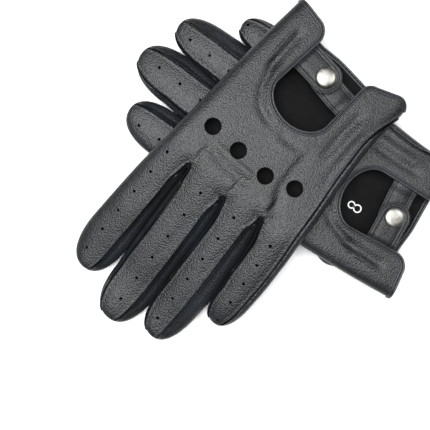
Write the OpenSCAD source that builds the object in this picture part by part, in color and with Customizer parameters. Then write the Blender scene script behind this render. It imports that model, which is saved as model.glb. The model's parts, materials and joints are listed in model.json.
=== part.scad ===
// A pair of leather driving gloves, the left one lying across the right one, backs up.
// Each glove is cut from flat leather: a back panel, a palm panel, three fourchettes and a two-piece
// thumb, with a bound keyhole at the wrist that a flap and a press stud close.
// Every piece is drawn for the left hand, index finger towards +X and fingertips towards +Y, with
// heights from the outside of the palm. The long pieces follow the glove down over what it lies on.

/* [Leather] */
// Thickness of the leather
leather_t = 0.9; // [0.7:0.1:1.1]
// Thickness of the leather that lines the flap and the tab
lining_t = 0.7; // [0.5:0.1:0.8]
// Outer thickness of a glove laid flat, palm to back
glove_t = 11; // [10.5:0.5:12]
// Outer thickness of the thumb tucked under the palm
thumb_t = 6.6; // [6.2:0.2:7]

/* [Ventilation] */
// Radius of the four knuckle holes
knuckle_r = 5.2; // [4:0.2:6]
// Radius of the finger perforations
perforation_r = 0.8; // [0.5:0.1:1]

/* [Keyhole] */
// Width of the keyhole in the back
keyhole_w = 41; // [38:1:42]
// Distance from the cuff to where the keyhole starts to close
keyhole_shoulder = 48; // [46:1:50]
// Height of the rounded end of the keyhole
keyhole_dome = 15.6; // [12:0.2:16]
// Width of the binding on the leather
binding_w = 1.9; // [1.4:0.1:2.4]
// How far the binding stands proud of the leather
binding_t = 0.5; // [0.3:0.1:0.6]

/* [Closure] */
// Width of the flap that carries the cap
flap_w = 20; // [18:0.5:21]
// Width of the tab that carries the stud
tab_w = 17; // [15:0.5:18]
// Diameter of the stud's cap
cap_d = 13.4; // [12:0.2:14]
// Distance from the cuff to the press stud's centre
snap_y = 27.2; // [26:0.2:28]

/* [Laying] */
// Gap between the right glove's back and the left glove's palm
stack_gap = 3.4; // [3.4:0.1:5]
// Angle between the two gloves
crossing_angle = 81.2; // [75:0.2:85]
// Length over which the left fingers come down to the table
left_drop = 91; // [80:1:95]
// Length over which the right fingers come down to the table
right_drop = 42; // [38:1:46]

/* [Hidden] */
$fn = 48;
eps = 0.01;

// How much shorter the right glove's hand lies than it is, and between which lengths from the cuff.
bunch = 10.4;
bunch_from = 68;
bunch_to = 116;

// Where the right glove's cuff centre lies, seen from the left one's, and the shift that puts
// the origin under the middle of the pair.
right_at = [-118.3, 55.4];
pair_shift = [12.6765, -115.54];
left_lift = thumb_t + glove_t + stack_gap;
left_fold_y = 114;
right_fold_y = 106;

// Pattern of the fingers. Each is [base from, base to, base y, belly from, belly to, belly y, tip x, tip y].
index_finger = [25.6, 49.2, 122, 20.6, 50.8, 189, 34.5, 217.3];
middle_finger = [-2.5, 24.4, 122, -13.4, 18.6, 201, 1.8, 231];
ring_finger = [-28, -3.7, 117, -41, -14.4, 189, -28, 220.4];
little_finger = [-57.5, -29.4, 117, -62, -39.6, 160, -51.7, 186.3];
fingers = [index_finger, middle_finger, ring_finger, little_finger];
tip_steps = 12;
tip_bluntness = 0.85;
fourchette_reach = 0.55; // share of the tip's length that a fourchette runs beside

// Pattern of the hand, up each side from the cuff to the fingers, and along the finger bases.
index_side = [[44.3, 0.3], [46.5, 35], [48.3, 95], [49.2, 123]];
little_side = [[-57.5, 118], [-54.2, 90], [-50.6, 64], [-48.8, 30], [-50.7, 12]];
crotch_line = [[49.2, 123], [25, 122.4], [-3.1, 122.8], [-28.7, 117], [-57.5, 118]];
palm_cuff = [[-60, 14.5], [-36, 13.5], [-20, 12], [0, 10.5], [16, 11.5], [30, 8.5], [60, -5]];

// Knuckle holes, and the first and last perforation and their number on each finger.
knuckles = [[31, 95.6], [9.6, 96], [-13.1, 96.5], [-31.7, 90.2]];
perforations = [
    [[41.6, 126], [40.6, 206.5], 6],
    [[9.3, 131], [2.1, 216], 6],
    [[-16.2, 128.5], [-23.8, 209.5], 6],
    [[-44.7, 126.3], [-52.9, 184], 5]
];

// Heights in a flat glove.
back_z = glove_t - leather_t;
tab_bottom = 6.7;
tab_top = tab_bottom + lining_t + leather_t;
tab_root = back_z - lining_t - leather_t;
flap_bottom = 10.7;
flap_top = flap_bottom + lining_t + leather_t;

// The keyhole's sides lean towards each other at the cuff, and the flap hinges along the index side.
keyhole_cuff = [-21.2, 17.6];
hinge_lean = atan2(keyhole_w / 2 - keyhole_cuff[1], keyhole_shoulder - 13);
binding_lip = 0.6;
binding_reach = 46;
hinge_gap = 0.4;
hinge_x = keyhole_w / 2 - (keyhole_shoulder - snap_y) * tan(hinge_lean) - binding_lip - hinge_gap;
flap_reach = hinge_x * cos(hinge_lean);
tab_lean = 8;
tab_offset = 1.4;

// Press stud. The socket's bore clears the stud's head as the flap swings off it.
post_r = 1.6;
post_hole_r = 1.7;
post_below = 0.15; // how far the post reaches below the flap
rivet_r = 0.9;
rivet_hole_r = 1;
rivet_top = 1.4; // height of the rivet's hole above the tab
socket_h = 1.55;
socket_web = 0.25;
socket_bore_r = 2.35;

// Thumb, tucked under the palm and pointing across it.
thumb_base = [34.5, 46];
thumb_base_r = 13.5;
thumb_tip = [18, 89];
thumb_tip_r = 10.5;
thumb_hole_r = 10.5;

// ---- Outlines ----

// Points on an arc, from angle a to angle b.
function arc(centre, r, a, b, steps = 8) =
    [for (i = [0:steps]) centre + r * [cos(a + (b - a) * i / steps), sin(a + (b - a) * i / steps)]];

// A number raised to a power with its sign kept, which squares off an ellipse.
function blunt(x) = sign(x) * pow(abs(x), tip_bluntness);

// The middle line of a finger at height y on the pattern.
function finger_middle(f, y) =
    let (base = (f[0] + f[1]) / 2, belly = (f[3] + f[4]) / 2)
    base + (belly - base) * (y - f[2]) / (f[5] - f[2]);

// Height on the pattern where a finger's fourchettes end.
function fourchette_end(f) = f[5] + fourchette_reach * (f[7] - f[5]);

// Outline of one finger, drawn in by a distance, from inside the hand to its blunt tip.
function finger_points(f, inset) =
    let (
        middle = (f[3] + f[4]) / 2,
        half = (f[4] - f[3]) / 2 - inset,
        reach = f[7] - f[5] - inset,
        root = f[2] - 12
    ) concat(
        [[f[0] + inset, root], [f[1] - inset, root], [f[1] - inset, f[2]]],
        [for (i = [0:tip_steps])
            let (a = 180 * i / tip_steps)
            [middle + half * blunt(cos(a)) + (f[6] - middle) * sin(a), f[5] + reach * blunt(sin(a))]],
        [[f[0] + inset, f[2]]]
    );

// Outline of the hand and fingers. A drawn-in outline runs past the cuff, so it leaves the cuff open.
module silhouette(inset = 0) {
    cuff = inset > 0 ? -20 : 0;
    polygon(concat(
        [for (p = index_side) [p[0] - inset, p[1] + (p[1] < 1 ? cuff : 0)]],
        [for (p = crotch_line) [p[0] + (p[0] > 0 ? -1 : 1) * (abs(p[0]) > 40 ? inset : 0), p[1] - inset]],
        [for (p = little_side) [p[0] + inset, p[1] + (p[1] < 13 ? cuff - 12 : 0)]]
    ));
    for (f = fingers) polygon(finger_points(f, inset));
}

// Wall of leather that runs round the silhouette.
module side_wall() {
    difference() {
        silhouette();
        silhouette(leather_t);
    }
}

// Region between the middle lines of two neighbouring fingers, where their fourchette lies.
module gap_region(a, b) {
    from = min(a[2], b[2]) - 4;
    polygon([
        [finger_middle(b, from), from], [finger_middle(a, from), from],
        [finger_middle(a, fourchette_end(a)), fourchette_end(a)],
        [finger_middle(b, fourchette_end(b)), fourchette_end(b)]
    ]);
}

// Region outside the middle line of the little finger, where the palm leather wraps up.
module little_side_region() {
    f = little_finger;
    polygon([
        [-80, 12], [-40, 12], [finger_middle(f, f[2] - 4), f[2] - 4],
        [finger_middle(f, fourchette_end(f)), fourchette_end(f)], [-80, fourchette_end(f)]
    ]);
}

// Keyhole in the back, open to the cuff.
module keyhole() {
    a = keyhole_w / 2;
    polygon(concat(
        [[-a, keyhole_shoulder], [keyhole_cuff[0], 16], [keyhole_cuff[0], -30],
         [keyhole_cuff[1], -30], [keyhole_cuff[1], 13]],
        [for (i = [0:16]) [a * cos(180 * i / 16), keyhole_shoulder + keyhole_dome * sin(180 * i / 16)]]
    ));
}

// The cuff's edge on the back: two flaps with rounded corners.
module back_cuff_waste() {
    polygon(concat(
        [[60, -30], [60, -0.5], [44.3, 0.3]],
        arc([27.4, 13], 9.8, 268, 180),
        [[17.6, 20], [-21.2, 20]],
        arc([-29.2, 18.5], 8, 0, -80),
        arc([-43.4, 12], 7.4, 285, 180, 6),
        [[-50.8, 16], [-60, 16], [-60, -30]]
    ));
}

// Outline of the back panel without its holes.
module back_outline() {
    difference() {
        silhouette();
        keyhole();
        back_cuff_waste();
    }
}

// Outline of the palm panel.
module palm_outline() {
    difference() {
        silhouette();
        polygon(concat(
            [[-60, -30]], palm_cuff, [[60, -30]]
        ));
    }
}

// Outline round two circles.
function two_circles(a, ra, b, rb) =
    let (d = b - a, way = atan2(d[1], d[0]), spread = acos((ra - rb) / norm(d)))
    concat(arc(a, ra, way + spread, way + 360 - spread, 16), arc(b, rb, way - spread, way + spread, 12));

module thumb_outline(inset = 0) {
    polygon(two_circles(thumb_base, thumb_base_r - inset, thumb_tip, thumb_tip_r - inset));
}

// The flap and the tab in their own frames: the press stud at the origin, the sewn end on +X for the
// flap and on -X for the tab.
module flap_outline() {
    circle(d = flap_w);
    translate([0, -flap_w / 2]) square([flap_reach, flap_w]);
}

module tab_outline() {
    translate([0, tab_offset]) {
        circle(d = tab_w);
        translate([-25.5, -tab_w / 2]) square([25.5, tab_w]);
    }
}

// ---- Laying the pieces ----

// A layer between two heights that is level, comes down over a run from a fold, and ends on the table.
module layer(height, fold_y, run, bottom, top) {
    path = [[-60, height], [fold_y, height], [fold_y + run, 0], [300, 0]];
    rotate([90, 0, 90]) linear_extrude(180, center = true) polygon(concat(
        [for (p = path) p + [0, bottom]],
        [for (i = [len(path) - 1:-1:0]) path[i] + [0, top]]
    ));
}

// The part of a layer of the left or right glove that stands over an outline.
module left_layer(bottom, top) {
    intersection() {
        translate([0, 0, -40]) linear_extrude(120) children();
        layer(left_lift, left_fold_y, left_drop, bottom, top);
    }
}

// The right glove's outlines: the hand is bunched up along its length where the left glove lies on it.
module bunched() {
    span = bunch_to - bunch_from;
    intersection() {
        children();
        translate([-100, -60]) square([200, 60 + bunch_from + eps]);
    }
    translate([0, bunch_from]) scale([1, 1 - bunch / span]) intersection() {
        translate([0, -bunch_from]) children();
        translate([-100, 0]) square([200, span]);
    }
    translate([0, -bunch]) intersection() {
        children();
        translate([-100, bunch_to - eps]) square([200, 300]);
    }
}

module right_layer(bottom, top) {
    intersection() {
        translate([0, 0, -40]) linear_extrude(120) bunched() children();
        layer(thumb_t, right_fold_y, right_drop, bottom, top);
    }
}

module glove_layer(left, bottom, top) {
    if (left) left_layer(bottom, top) children();
    else right_layer(bottom, top) children();
}

module left_place() {
    translate([pair_shift[0], pair_shift[1], 0]) children();
}

module right_place() {
    translate([pair_shift[0] + right_at[0], pair_shift[1] + right_at[1], 0])
        rotate(-crossing_angle) mirror([1, 0, 0]) children();
}

// A piece of the wrist or thumb, which stays level.
module left_level() {
    left_place() translate([0, 0, left_lift]) children();
}

module right_level() {
    right_place() translate([0, 0, thumb_t]) children();
}

// ---- Panels ----

module perforation_row(row) {
    for (i = [0:row[2] - 1])
        translate(row[0] + (row[1] - row[0]) * i / (row[2] - 1)) circle(perforation_r, $fn = 16);
}

module back_panel(left) {
    color("#35383b") {
        glove_layer(left, back_z, glove_t) difference() {
            back_outline();
            for (p = knuckles) translate(p) circle(knuckle_r);
            for (row = perforations) perforation_row(row);
        }
        glove_layer(left, leather_t, glove_t) difference() {
            side_wall();
            little_side_region();
            for (i = [0:2]) gap_region(fingers[i], fingers[i + 1]);
            back_cuff_waste();
        }
    }
}

module palm_panel(left) {
    color("#303336") {
        glove_layer(left, 0, leather_t) difference() {
            palm_outline();
            translate(thumb_base) circle(thumb_hole_r);
        }
        glove_layer(left, 0, back_z) intersection() {
            side_wall();
            little_side_region();
            palm_outline();
        }
    }
}

module fourchette(left, i) {
    color("#2b2e31") glove_layer(left, leather_t, back_z) intersection() {
        side_wall();
        gap_region(fingers[i], fingers[i + 1]);
    }
}

module thumb_inner() {
    color("#35383b") translate([0, 0, -leather_t]) linear_extrude(leather_t) difference() {
        thumb_outline();
        translate(thumb_base) circle(thumb_hole_r);
    }
}

module thumb_outer() {
    color("#303336") {
        translate([0, 0, -thumb_t]) linear_extrude(leather_t) thumb_outline();
        translate([0, 0, leather_t - thumb_t - eps]) linear_extrude(thumb_t - 2 * leather_t + eps)
            difference() {
                thumb_outline();
                thumb_outline(leather_t);
            }
    }
}

// ---- Bindings ----

// Strip along an edge, from a lip past the edge to a width inside it, between the sides of the wrist.
module edge_strip(width, height) {
    intersection() {
        difference() {
            offset(delta = binding_lip) children();
            offset(delta = -width) children();
        }
        translate([-binding_reach, -10]) square([2 * binding_reach - 4, 10 + height]);
    }
}

// A binding is a band on the outside of the leather and a lip that covers the cut edge.
module keyhole_binding() {
    color("#232527") {
        translate([0, 0, glove_t]) linear_extrude(binding_t) edge_strip(binding_w, 70) back_outline();
        translate([0, 0, back_z]) linear_extrude(leather_t + eps) edge_strip(0, 70) back_outline();
    }
}

module cuff_binding() {
    color("#232527") {
        translate([0, 0, -binding_t]) linear_extrude(binding_t) edge_strip(binding_w, 18) palm_outline();
        translate([0, 0, -eps]) linear_extrude(leather_t + eps) edge_strip(0, 18) palm_outline();
    }
}

// ---- Flap and tab ----

module at_flap() {
    translate([0, snap_y, 0]) rotate(-hinge_lean) children();
}

module at_tab() {
    translate([0, snap_y, 0]) rotate(-tab_lean) children();
}

module flap_layer(bottom, thickness) {
    at_flap() translate([0, 0, bottom]) linear_extrude(thickness) difference() {
        flap_outline();
        circle(post_hole_r);
    }
}

module flap() {
    color("#34373a") flap_layer(flap_bottom + lining_t, leather_t);
}

module flap_lining() {
    color("#1f2123") flap_layer(flap_bottom, lining_t);
}

// One layer of the tab, sewn under the back panel at its root and dropping to lie under the flap.
module tab_layer(root_z, level_z, thickness) {
    at_tab() intersection() {
        translate([0, 0, 5]) linear_extrude(10) difference() {
            tab_outline();
            circle(rivet_hole_r);
        }
        rotate([90, 0, 0]) linear_extrude(40, center = true) polygon([
            [-26, root_z], [-20.5, root_z], [-14, level_z], [12, level_z],
            [12, level_z + thickness], [-14, level_z + thickness],
            [-20.5, root_z + thickness], [-26, root_z + thickness]
        ]);
    }
}

module tab() {
    color("#34373a") tab_layer(tab_root + lining_t, tab_bottom + lining_t, leather_t);
}

module tab_lining() {
    color("#1f2123") tab_layer(tab_root, tab_bottom, lining_t);
}

// ---- Press stud ----

module at_snap(z) {
    translate([0, snap_y, z]) children();
}

// The cap: a domed disc with a rolled rim, and the post that goes through the flap to the socket.
module snap_cap() {
    rim_r = 0.4;
    rim_top = 0.75;
    dome_h = 1.4;
    dome_r = cap_d / 2 - 0.5;
    color("#c9cacb") at_snap(flap_top) {
        rotate_extrude() polygon(concat(
            [[0, 0], [cap_d / 2 - rim_r, 0]],
            arc([cap_d / 2 - rim_r, rim_r], rim_r, -90, 60, 5),
            [for (i = [1:8]) [dome_r * (1 - i / 8), rim_top + (dome_h - rim_top) * sin(90 * i / 8)]]
        ));
        translate([0, 0, flap_bottom - flap_top - post_below]) cylinder(r = post_r, h = 2);
    }
}

// The socket under the flap, with a hole for the post and a cup for the stud's head.
module snap_socket() {
    color("#b4b6b8") at_snap(flap_bottom - socket_h) rotate_extrude() polygon([
        [socket_bore_r, 0], [4.9, 0], [5.2, 0.3], [5.2, socket_h], [post_hole_r, socket_h],
        [post_hole_r, socket_h - socket_web], [socket_bore_r, socket_h - socket_web]
    ]);
}

// The stud on the tab: a flat base, a waist and a head, hollow for the rivet.
module snap_stud() {
    base_r = 4.6;
    base_h = 0.35;
    head_r = 1.9;
    waist_r = 1.5;
    stud_h = 1.75;
    color("#b4b6b8") at_snap(tab_top) rotate_extrude() polygon([
        [rivet_hole_r, 0], [base_r, 0], [base_r, base_h], [waist_r, base_h], [waist_r, 0.9],
        [head_r, 1.2], [head_r, 1.5], [waist_r, stud_h], [0, stud_h], [0, rivet_top],
        [rivet_hole_r, rivet_top]
    ]);
}

// The rivet's head lies under the tab and its shank stands in the stud.
module snap_rivet() {
    head_h = 0.6;
    color("#b4b6b8") at_snap(tab_bottom) {
        translate([0, 0, -head_h]) cylinder(r = 4.2, h = head_h);
        cylinder(r = rivet_r, h = tab_top - tab_bottom + rivet_top - 0.1);
    }
}

// ---- Nodes ----

left_place() back_panel(true);  // left_back_panel
left_place() palm_panel(true);  // left_palm_panel
left_level() thumb_inner();  // left_thumb_inner
left_level() thumb_outer();  // left_thumb_outer
left_place() fourchette(true, 0);  // left_fourchette_index_middle
left_place() fourchette(true, 1);  // left_fourchette_middle_ring
left_place() fourchette(true, 2);  // left_fourchette_ring_little
left_level() keyhole_binding();  // left_keyhole_binding
left_level() cuff_binding();  // left_cuff_binding
left_level() flap();  // left_flap
left_level() flap_lining();  // left_flap_lining
left_level() tab();  // left_tab
left_level() tab_lining();  // left_tab_lining
left_level() snap_cap();  // left_snap_cap
left_level() snap_socket();  // left_snap_socket
left_level() snap_stud();  // left_snap_stud
left_level() snap_rivet();  // left_snap_rivet
right_place() back_panel(false);  // right_back_panel
right_place() palm_panel(false);  // right_palm_panel
right_level() thumb_inner();  // right_thumb_inner
right_level() thumb_outer();  // right_thumb_outer
right_place() fourchette(false, 0);  // right_fourchette_index_middle
right_place() fourchette(false, 1);  // right_fourchette_middle_ring
right_place() fourchette(false, 2);  // right_fourchette_ring_little
right_level() keyhole_binding();  // right_keyhole_binding
right_level() cuff_binding();  // right_cuff_binding
right_level() flap();  // right_flap
right_level() flap_lining();  // right_flap_lining
right_level() tab();  // right_tab
right_level() tab_lining();  // right_tab_lining
right_level() snap_cap();  // right_snap_cap
right_level() snap_socket();  // right_snap_socket
right_level() snap_stud();  // right_snap_stud
right_level() snap_rivet();  // right_snap_rivet
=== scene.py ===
"""Looks of a pair of leather driving gloves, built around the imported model.

Each glove is drawn once for the left hand in millimetres, index finger towards +x, fingertips
towards +y and the underside of the palm at z = 0. Its place then lays it on the table or over the
other glove, mirrored for the right hand. The long panels are grids whose points are moved onto the
glove's form, trimmed at the keyhole, the cuff and the ventilation holes.
"""

import json
import logging
import math
from dataclasses import dataclass
from enum import Enum
from typing import Callable, Iterable, Optional, Sequence

import bmesh
import bpy
from mathutils import Matrix, Vector, noise


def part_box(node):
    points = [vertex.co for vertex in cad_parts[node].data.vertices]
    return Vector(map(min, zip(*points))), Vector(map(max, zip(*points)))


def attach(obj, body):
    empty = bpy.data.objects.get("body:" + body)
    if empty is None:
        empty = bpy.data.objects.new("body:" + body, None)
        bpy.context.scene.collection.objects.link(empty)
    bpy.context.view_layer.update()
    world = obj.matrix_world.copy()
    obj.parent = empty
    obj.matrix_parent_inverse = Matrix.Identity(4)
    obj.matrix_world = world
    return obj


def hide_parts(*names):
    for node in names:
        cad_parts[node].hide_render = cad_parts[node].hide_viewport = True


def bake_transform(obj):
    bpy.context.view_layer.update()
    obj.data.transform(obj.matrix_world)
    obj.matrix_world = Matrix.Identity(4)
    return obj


LOG = logging.getLogger("driving_gloves")
MM = 0.001
# Height of the flap's outside over the underside of the palm, in millimetres.
FLAP_TOP = 12.3
# How far in from the drawing's y = 0 the record's wrist mounts lie, in metres.
WRIST_MOUNT_IN = 0.008
Point = tuple[float, float]
Path = Sequence[Point]


class Side(Enum):
    """Which hand a glove is for."""

    LEFT = "left"
    RIGHT = "right"


class Edge(Enum):
    """The two sides of a finger."""

    INDEX = 1
    LITTLE = -1


# ---- Numbers and curves ----


def clamp(value: float, low: float = 0.0, high: float = 1.0) -> float:
    """Keep a value between two limits."""
    return max(low, min(high, value))


def lerp(a: float, b: float, t: float) -> float:
    """Go from a to b by a share t."""
    return a + (b - a) * t


def smooth(low: float, high: float, value: float) -> float:
    """Rise smoothly from 0 at low to 1 at high."""
    t = clamp((value - low) / (high - low))
    return t * t * (3 - 2 * t)


def round_off(t: float) -> float:
    """Height of a quarter circle at a share t of its radius in from its foot."""
    t = clamp(t)
    return math.sqrt(t * (2 - t))


def bell(value: float, width: float) -> float:
    """A bump of height 1 that fades out over a width."""
    return math.exp(-((value / width) ** 2))


def arc(centre: Point, radius: float, start: float, end: float, steps: int = 10) -> list[Point]:
    """Points on an arc.

    Args:
        centre: The arc's centre.
        radius: The arc's radius.
        start: First angle in degrees.
        end: Last angle in degrees.
        steps: Number of stretches.

    Returns:
        The points, both ends included.
    """
    points = []
    for i in range(steps + 1):
        a = math.radians(lerp(start, end, i / steps))
        points.append((centre[0] + radius * math.cos(a), centre[1] + radius * math.sin(a)))
    return points


def across_at(points: Path, y: float) -> float:
    """Read a curve's x at a height.

    Args:
        points: The curve's points as (x, y), with y rising.
        y: The height.

    Returns:
        x, on a smooth curve through the points, level beyond its ends.
    """
    if y <= points[0][1]:
        return points[0][0]
    if y >= points[-1][1]:
        return points[-1][0]
    i = next(n for n in range(len(points) - 1) if y <= points[n + 1][1])

    def slope(n: int) -> float:
        a, b = points[max(n - 1, 0)], points[min(n + 1, len(points) - 1)]
        return (b[0] - a[0]) / (b[1] - a[1])

    (x0, y0), (x1, y1) = points[i], points[i + 1]
    h = y1 - y0
    t = (y - y0) / h
    a, b = slope(i) * h, slope(i + 1) * h
    return (
        x0 * (1 + 2 * t) * (1 - t) ** 2
        + a * t * (1 - t) ** 2
        + x1 * t * t * (3 - 2 * t)
        + b * t * t * (t - 1)
    )


def near_line(points: Path, x: float, y: float) -> tuple[float, float]:
    """Find how far a point is from an open line.

    Args:
        points: The line's points.
        x: The point's x.
        y: The point's y.

    Returns:
        The distance, negative on the line's right-hand side, and the share of the line passed.
    """
    best, share, side = 1e9, 0.0, 1.0
    last = len(points) - 1
    for i in range(last):
        (ax, ay), (bx, by) = points[i], points[i + 1]
        dx, dy = bx - ax, by - ay
        t = clamp(((x - ax) * dx + (y - ay) * dy) / (dx * dx + dy * dy + 1e-12))
        ex, ey = x - ax - t * dx, y - ay - t * dy
        d = math.hypot(ex, ey)
        if d < best:
            best, share = d, (i + t) / last
            side = 1.0 if dx * ey - dy * ex >= 0 else -1.0
    return best * side, share


def inside(points: Path, x: float, y: float) -> bool:
    """Say whether a point lies in a closed outline."""
    found = False
    for (ax, ay), (bx, by) in zip(points, list(points[1:]) + [points[0]]):
        if (ay > y) != (by > y) and x < ax + (bx - ax) * (y - ay) / (by - ay):
            found = not found
    return found


def resample(points: Path, step: float) -> list[Point]:
    """Space points evenly along a line.

    Args:
        points: The line's points.
        step: About how far apart the new ones lie.

    Returns:
        The new points, the line's own ends included.
    """
    lengths = [math.dist(a, b) for a, b in zip(points, points[1:])]
    total = sum(lengths)
    count = max(2, round(total / step))
    result, i, passed = [], 0, 0.0
    for n in range(count + 1):
        target = total * n / count
        while i < len(lengths) - 1 and passed + lengths[i] < target:
            passed += lengths[i]
            i += 1
        t = clamp((target - passed) / max(lengths[i], 1e-9))
        a, b = points[i], points[i + 1]
        result.append((lerp(a[0], b[0], t), lerp(a[1], b[1], t)))
    return result


def soften(points: Path, rounds: int = 2) -> list[Point]:
    """Round a line's corners by averaging each point with its neighbours, ends kept."""
    result = list(points)
    for _ in range(rounds):
        inner = [
            ((a[0] + 2 * b[0] + c[0]) / 4, (a[1] + 2 * b[1] + c[1]) / 4)
            for a, b, c in zip(result, result[1:], result[2:])
        ]
        result = [result[0], *inner, result[-1]]
    return result


def normals(points: Path) -> list[Point]:
    """Unit normals on the left-hand side of a line, one per point."""
    result = []
    for i in range(len(points)):
        a, b = points[max(i - 1, 0)], points[min(i + 1, len(points) - 1)]
        dx, dy = b[0] - a[0], b[1] - a[1]
        size = math.hypot(dx, dy) or 1.0
        result.append((-dy / size, dx / size))
    return result


# ---- The glove's form ----


@dataclass(frozen=True)
class Finger:
    """One finger's outline and where its seams lie.

    Each side is a curve of (x, y) from the finger's base to its belly, where the rounded tip
    starts. A seam is a curve of (distance in from the side, y), or empty where there is none.
    """

    little_side: tuple[Point, ...]
    index_side: tuple[Point, ...]
    belly_y: float
    tip: Point
    little_seam: tuple[Point, ...] = ()
    index_seam: tuple[Point, ...] = ()

    @property
    def base_y(self) -> float:
        """y of the finger's base."""
        return self.index_side[0][1]

    def turn(self, y: float) -> float:
        """Angle of the rounded tip at y, from 0 at the belly to a right angle at the tip."""
        return math.asin(clamp((y - self.belly_y) / (self.tip[1] - self.belly_y)) ** 1.18)

    def side(self, edge: Edge, y: float) -> float:
        """x of one side of the finger at y."""
        if y <= self.belly_y:
            return across_at(self.index_side if edge is Edge.INDEX else self.little_side, y)
        low, high = across_at(self.little_side, self.belly_y), across_at(self.index_side, self.belly_y)
        a = self.turn(y)
        middle, half = (low + high) / 2, (high - low) / 2
        return middle + (self.tip[0] - middle) * math.sin(a) + edge.value * half * math.cos(a) ** 0.85

    def half(self, y: float) -> float:
        """Half the finger's width at y."""
        return (self.side(Edge.INDEX, y) - self.side(Edge.LITTLE, y)) / 2

    def fade(self, y: float) -> float:
        """1 along the finger, falling to 0 at its tip."""
        return max(math.cos(self.turn(y)), 0.0)

    def seam_in(self, edge: Edge, y: float) -> float:
        """How far in from its side the back's seam lies at y."""
        curve = self.index_seam if edge is Edge.INDEX else self.little_seam
        return across_at(curve, y) * self.fade(y) ** 1.3 if curve else 0.0


@dataclass(frozen=True)
class Slot:
    """The gap between two fingers: the end of it on the back, and half its width at the fourchette."""

    x: float
    y: float
    gap: float
    depth: float = 3.0

    @property
    def end_y(self) -> float:
        """y of the centre that the fourchette turns about."""
        return self.y + self.depth


@dataclass(frozen=True)
class Crease:
    """A fold in the leather: a valley along a line with a ridge on its left-hand side."""

    line: tuple[Point, ...]
    depth: float
    width: float
    ridge: float = 0.0
    ridge_at: float = 5.0

    def height(self, x: float, y: float) -> float:
        """The fold's rise or fall at a point."""
        reach = self.width * 3 + self.ridge_at
        if not min(p[0] for p in self.line) - reach < x < max(p[0] for p in self.line) + reach:
            return 0.0
        if not min(p[1] for p in self.line) - reach < y < max(p[1] for p in self.line) + reach:
            return 0.0
        d, share = near_line(self.line, x, y)
        ends = smooth(0.0, 0.25, share) * smooth(1.0, 0.75, share) if len(self.line) > 2 else 0.6
        rise = self.ridge * bell(d - self.ridge_at, self.width)
        return ends * (rise - self.depth * bell(d, self.width))


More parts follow.
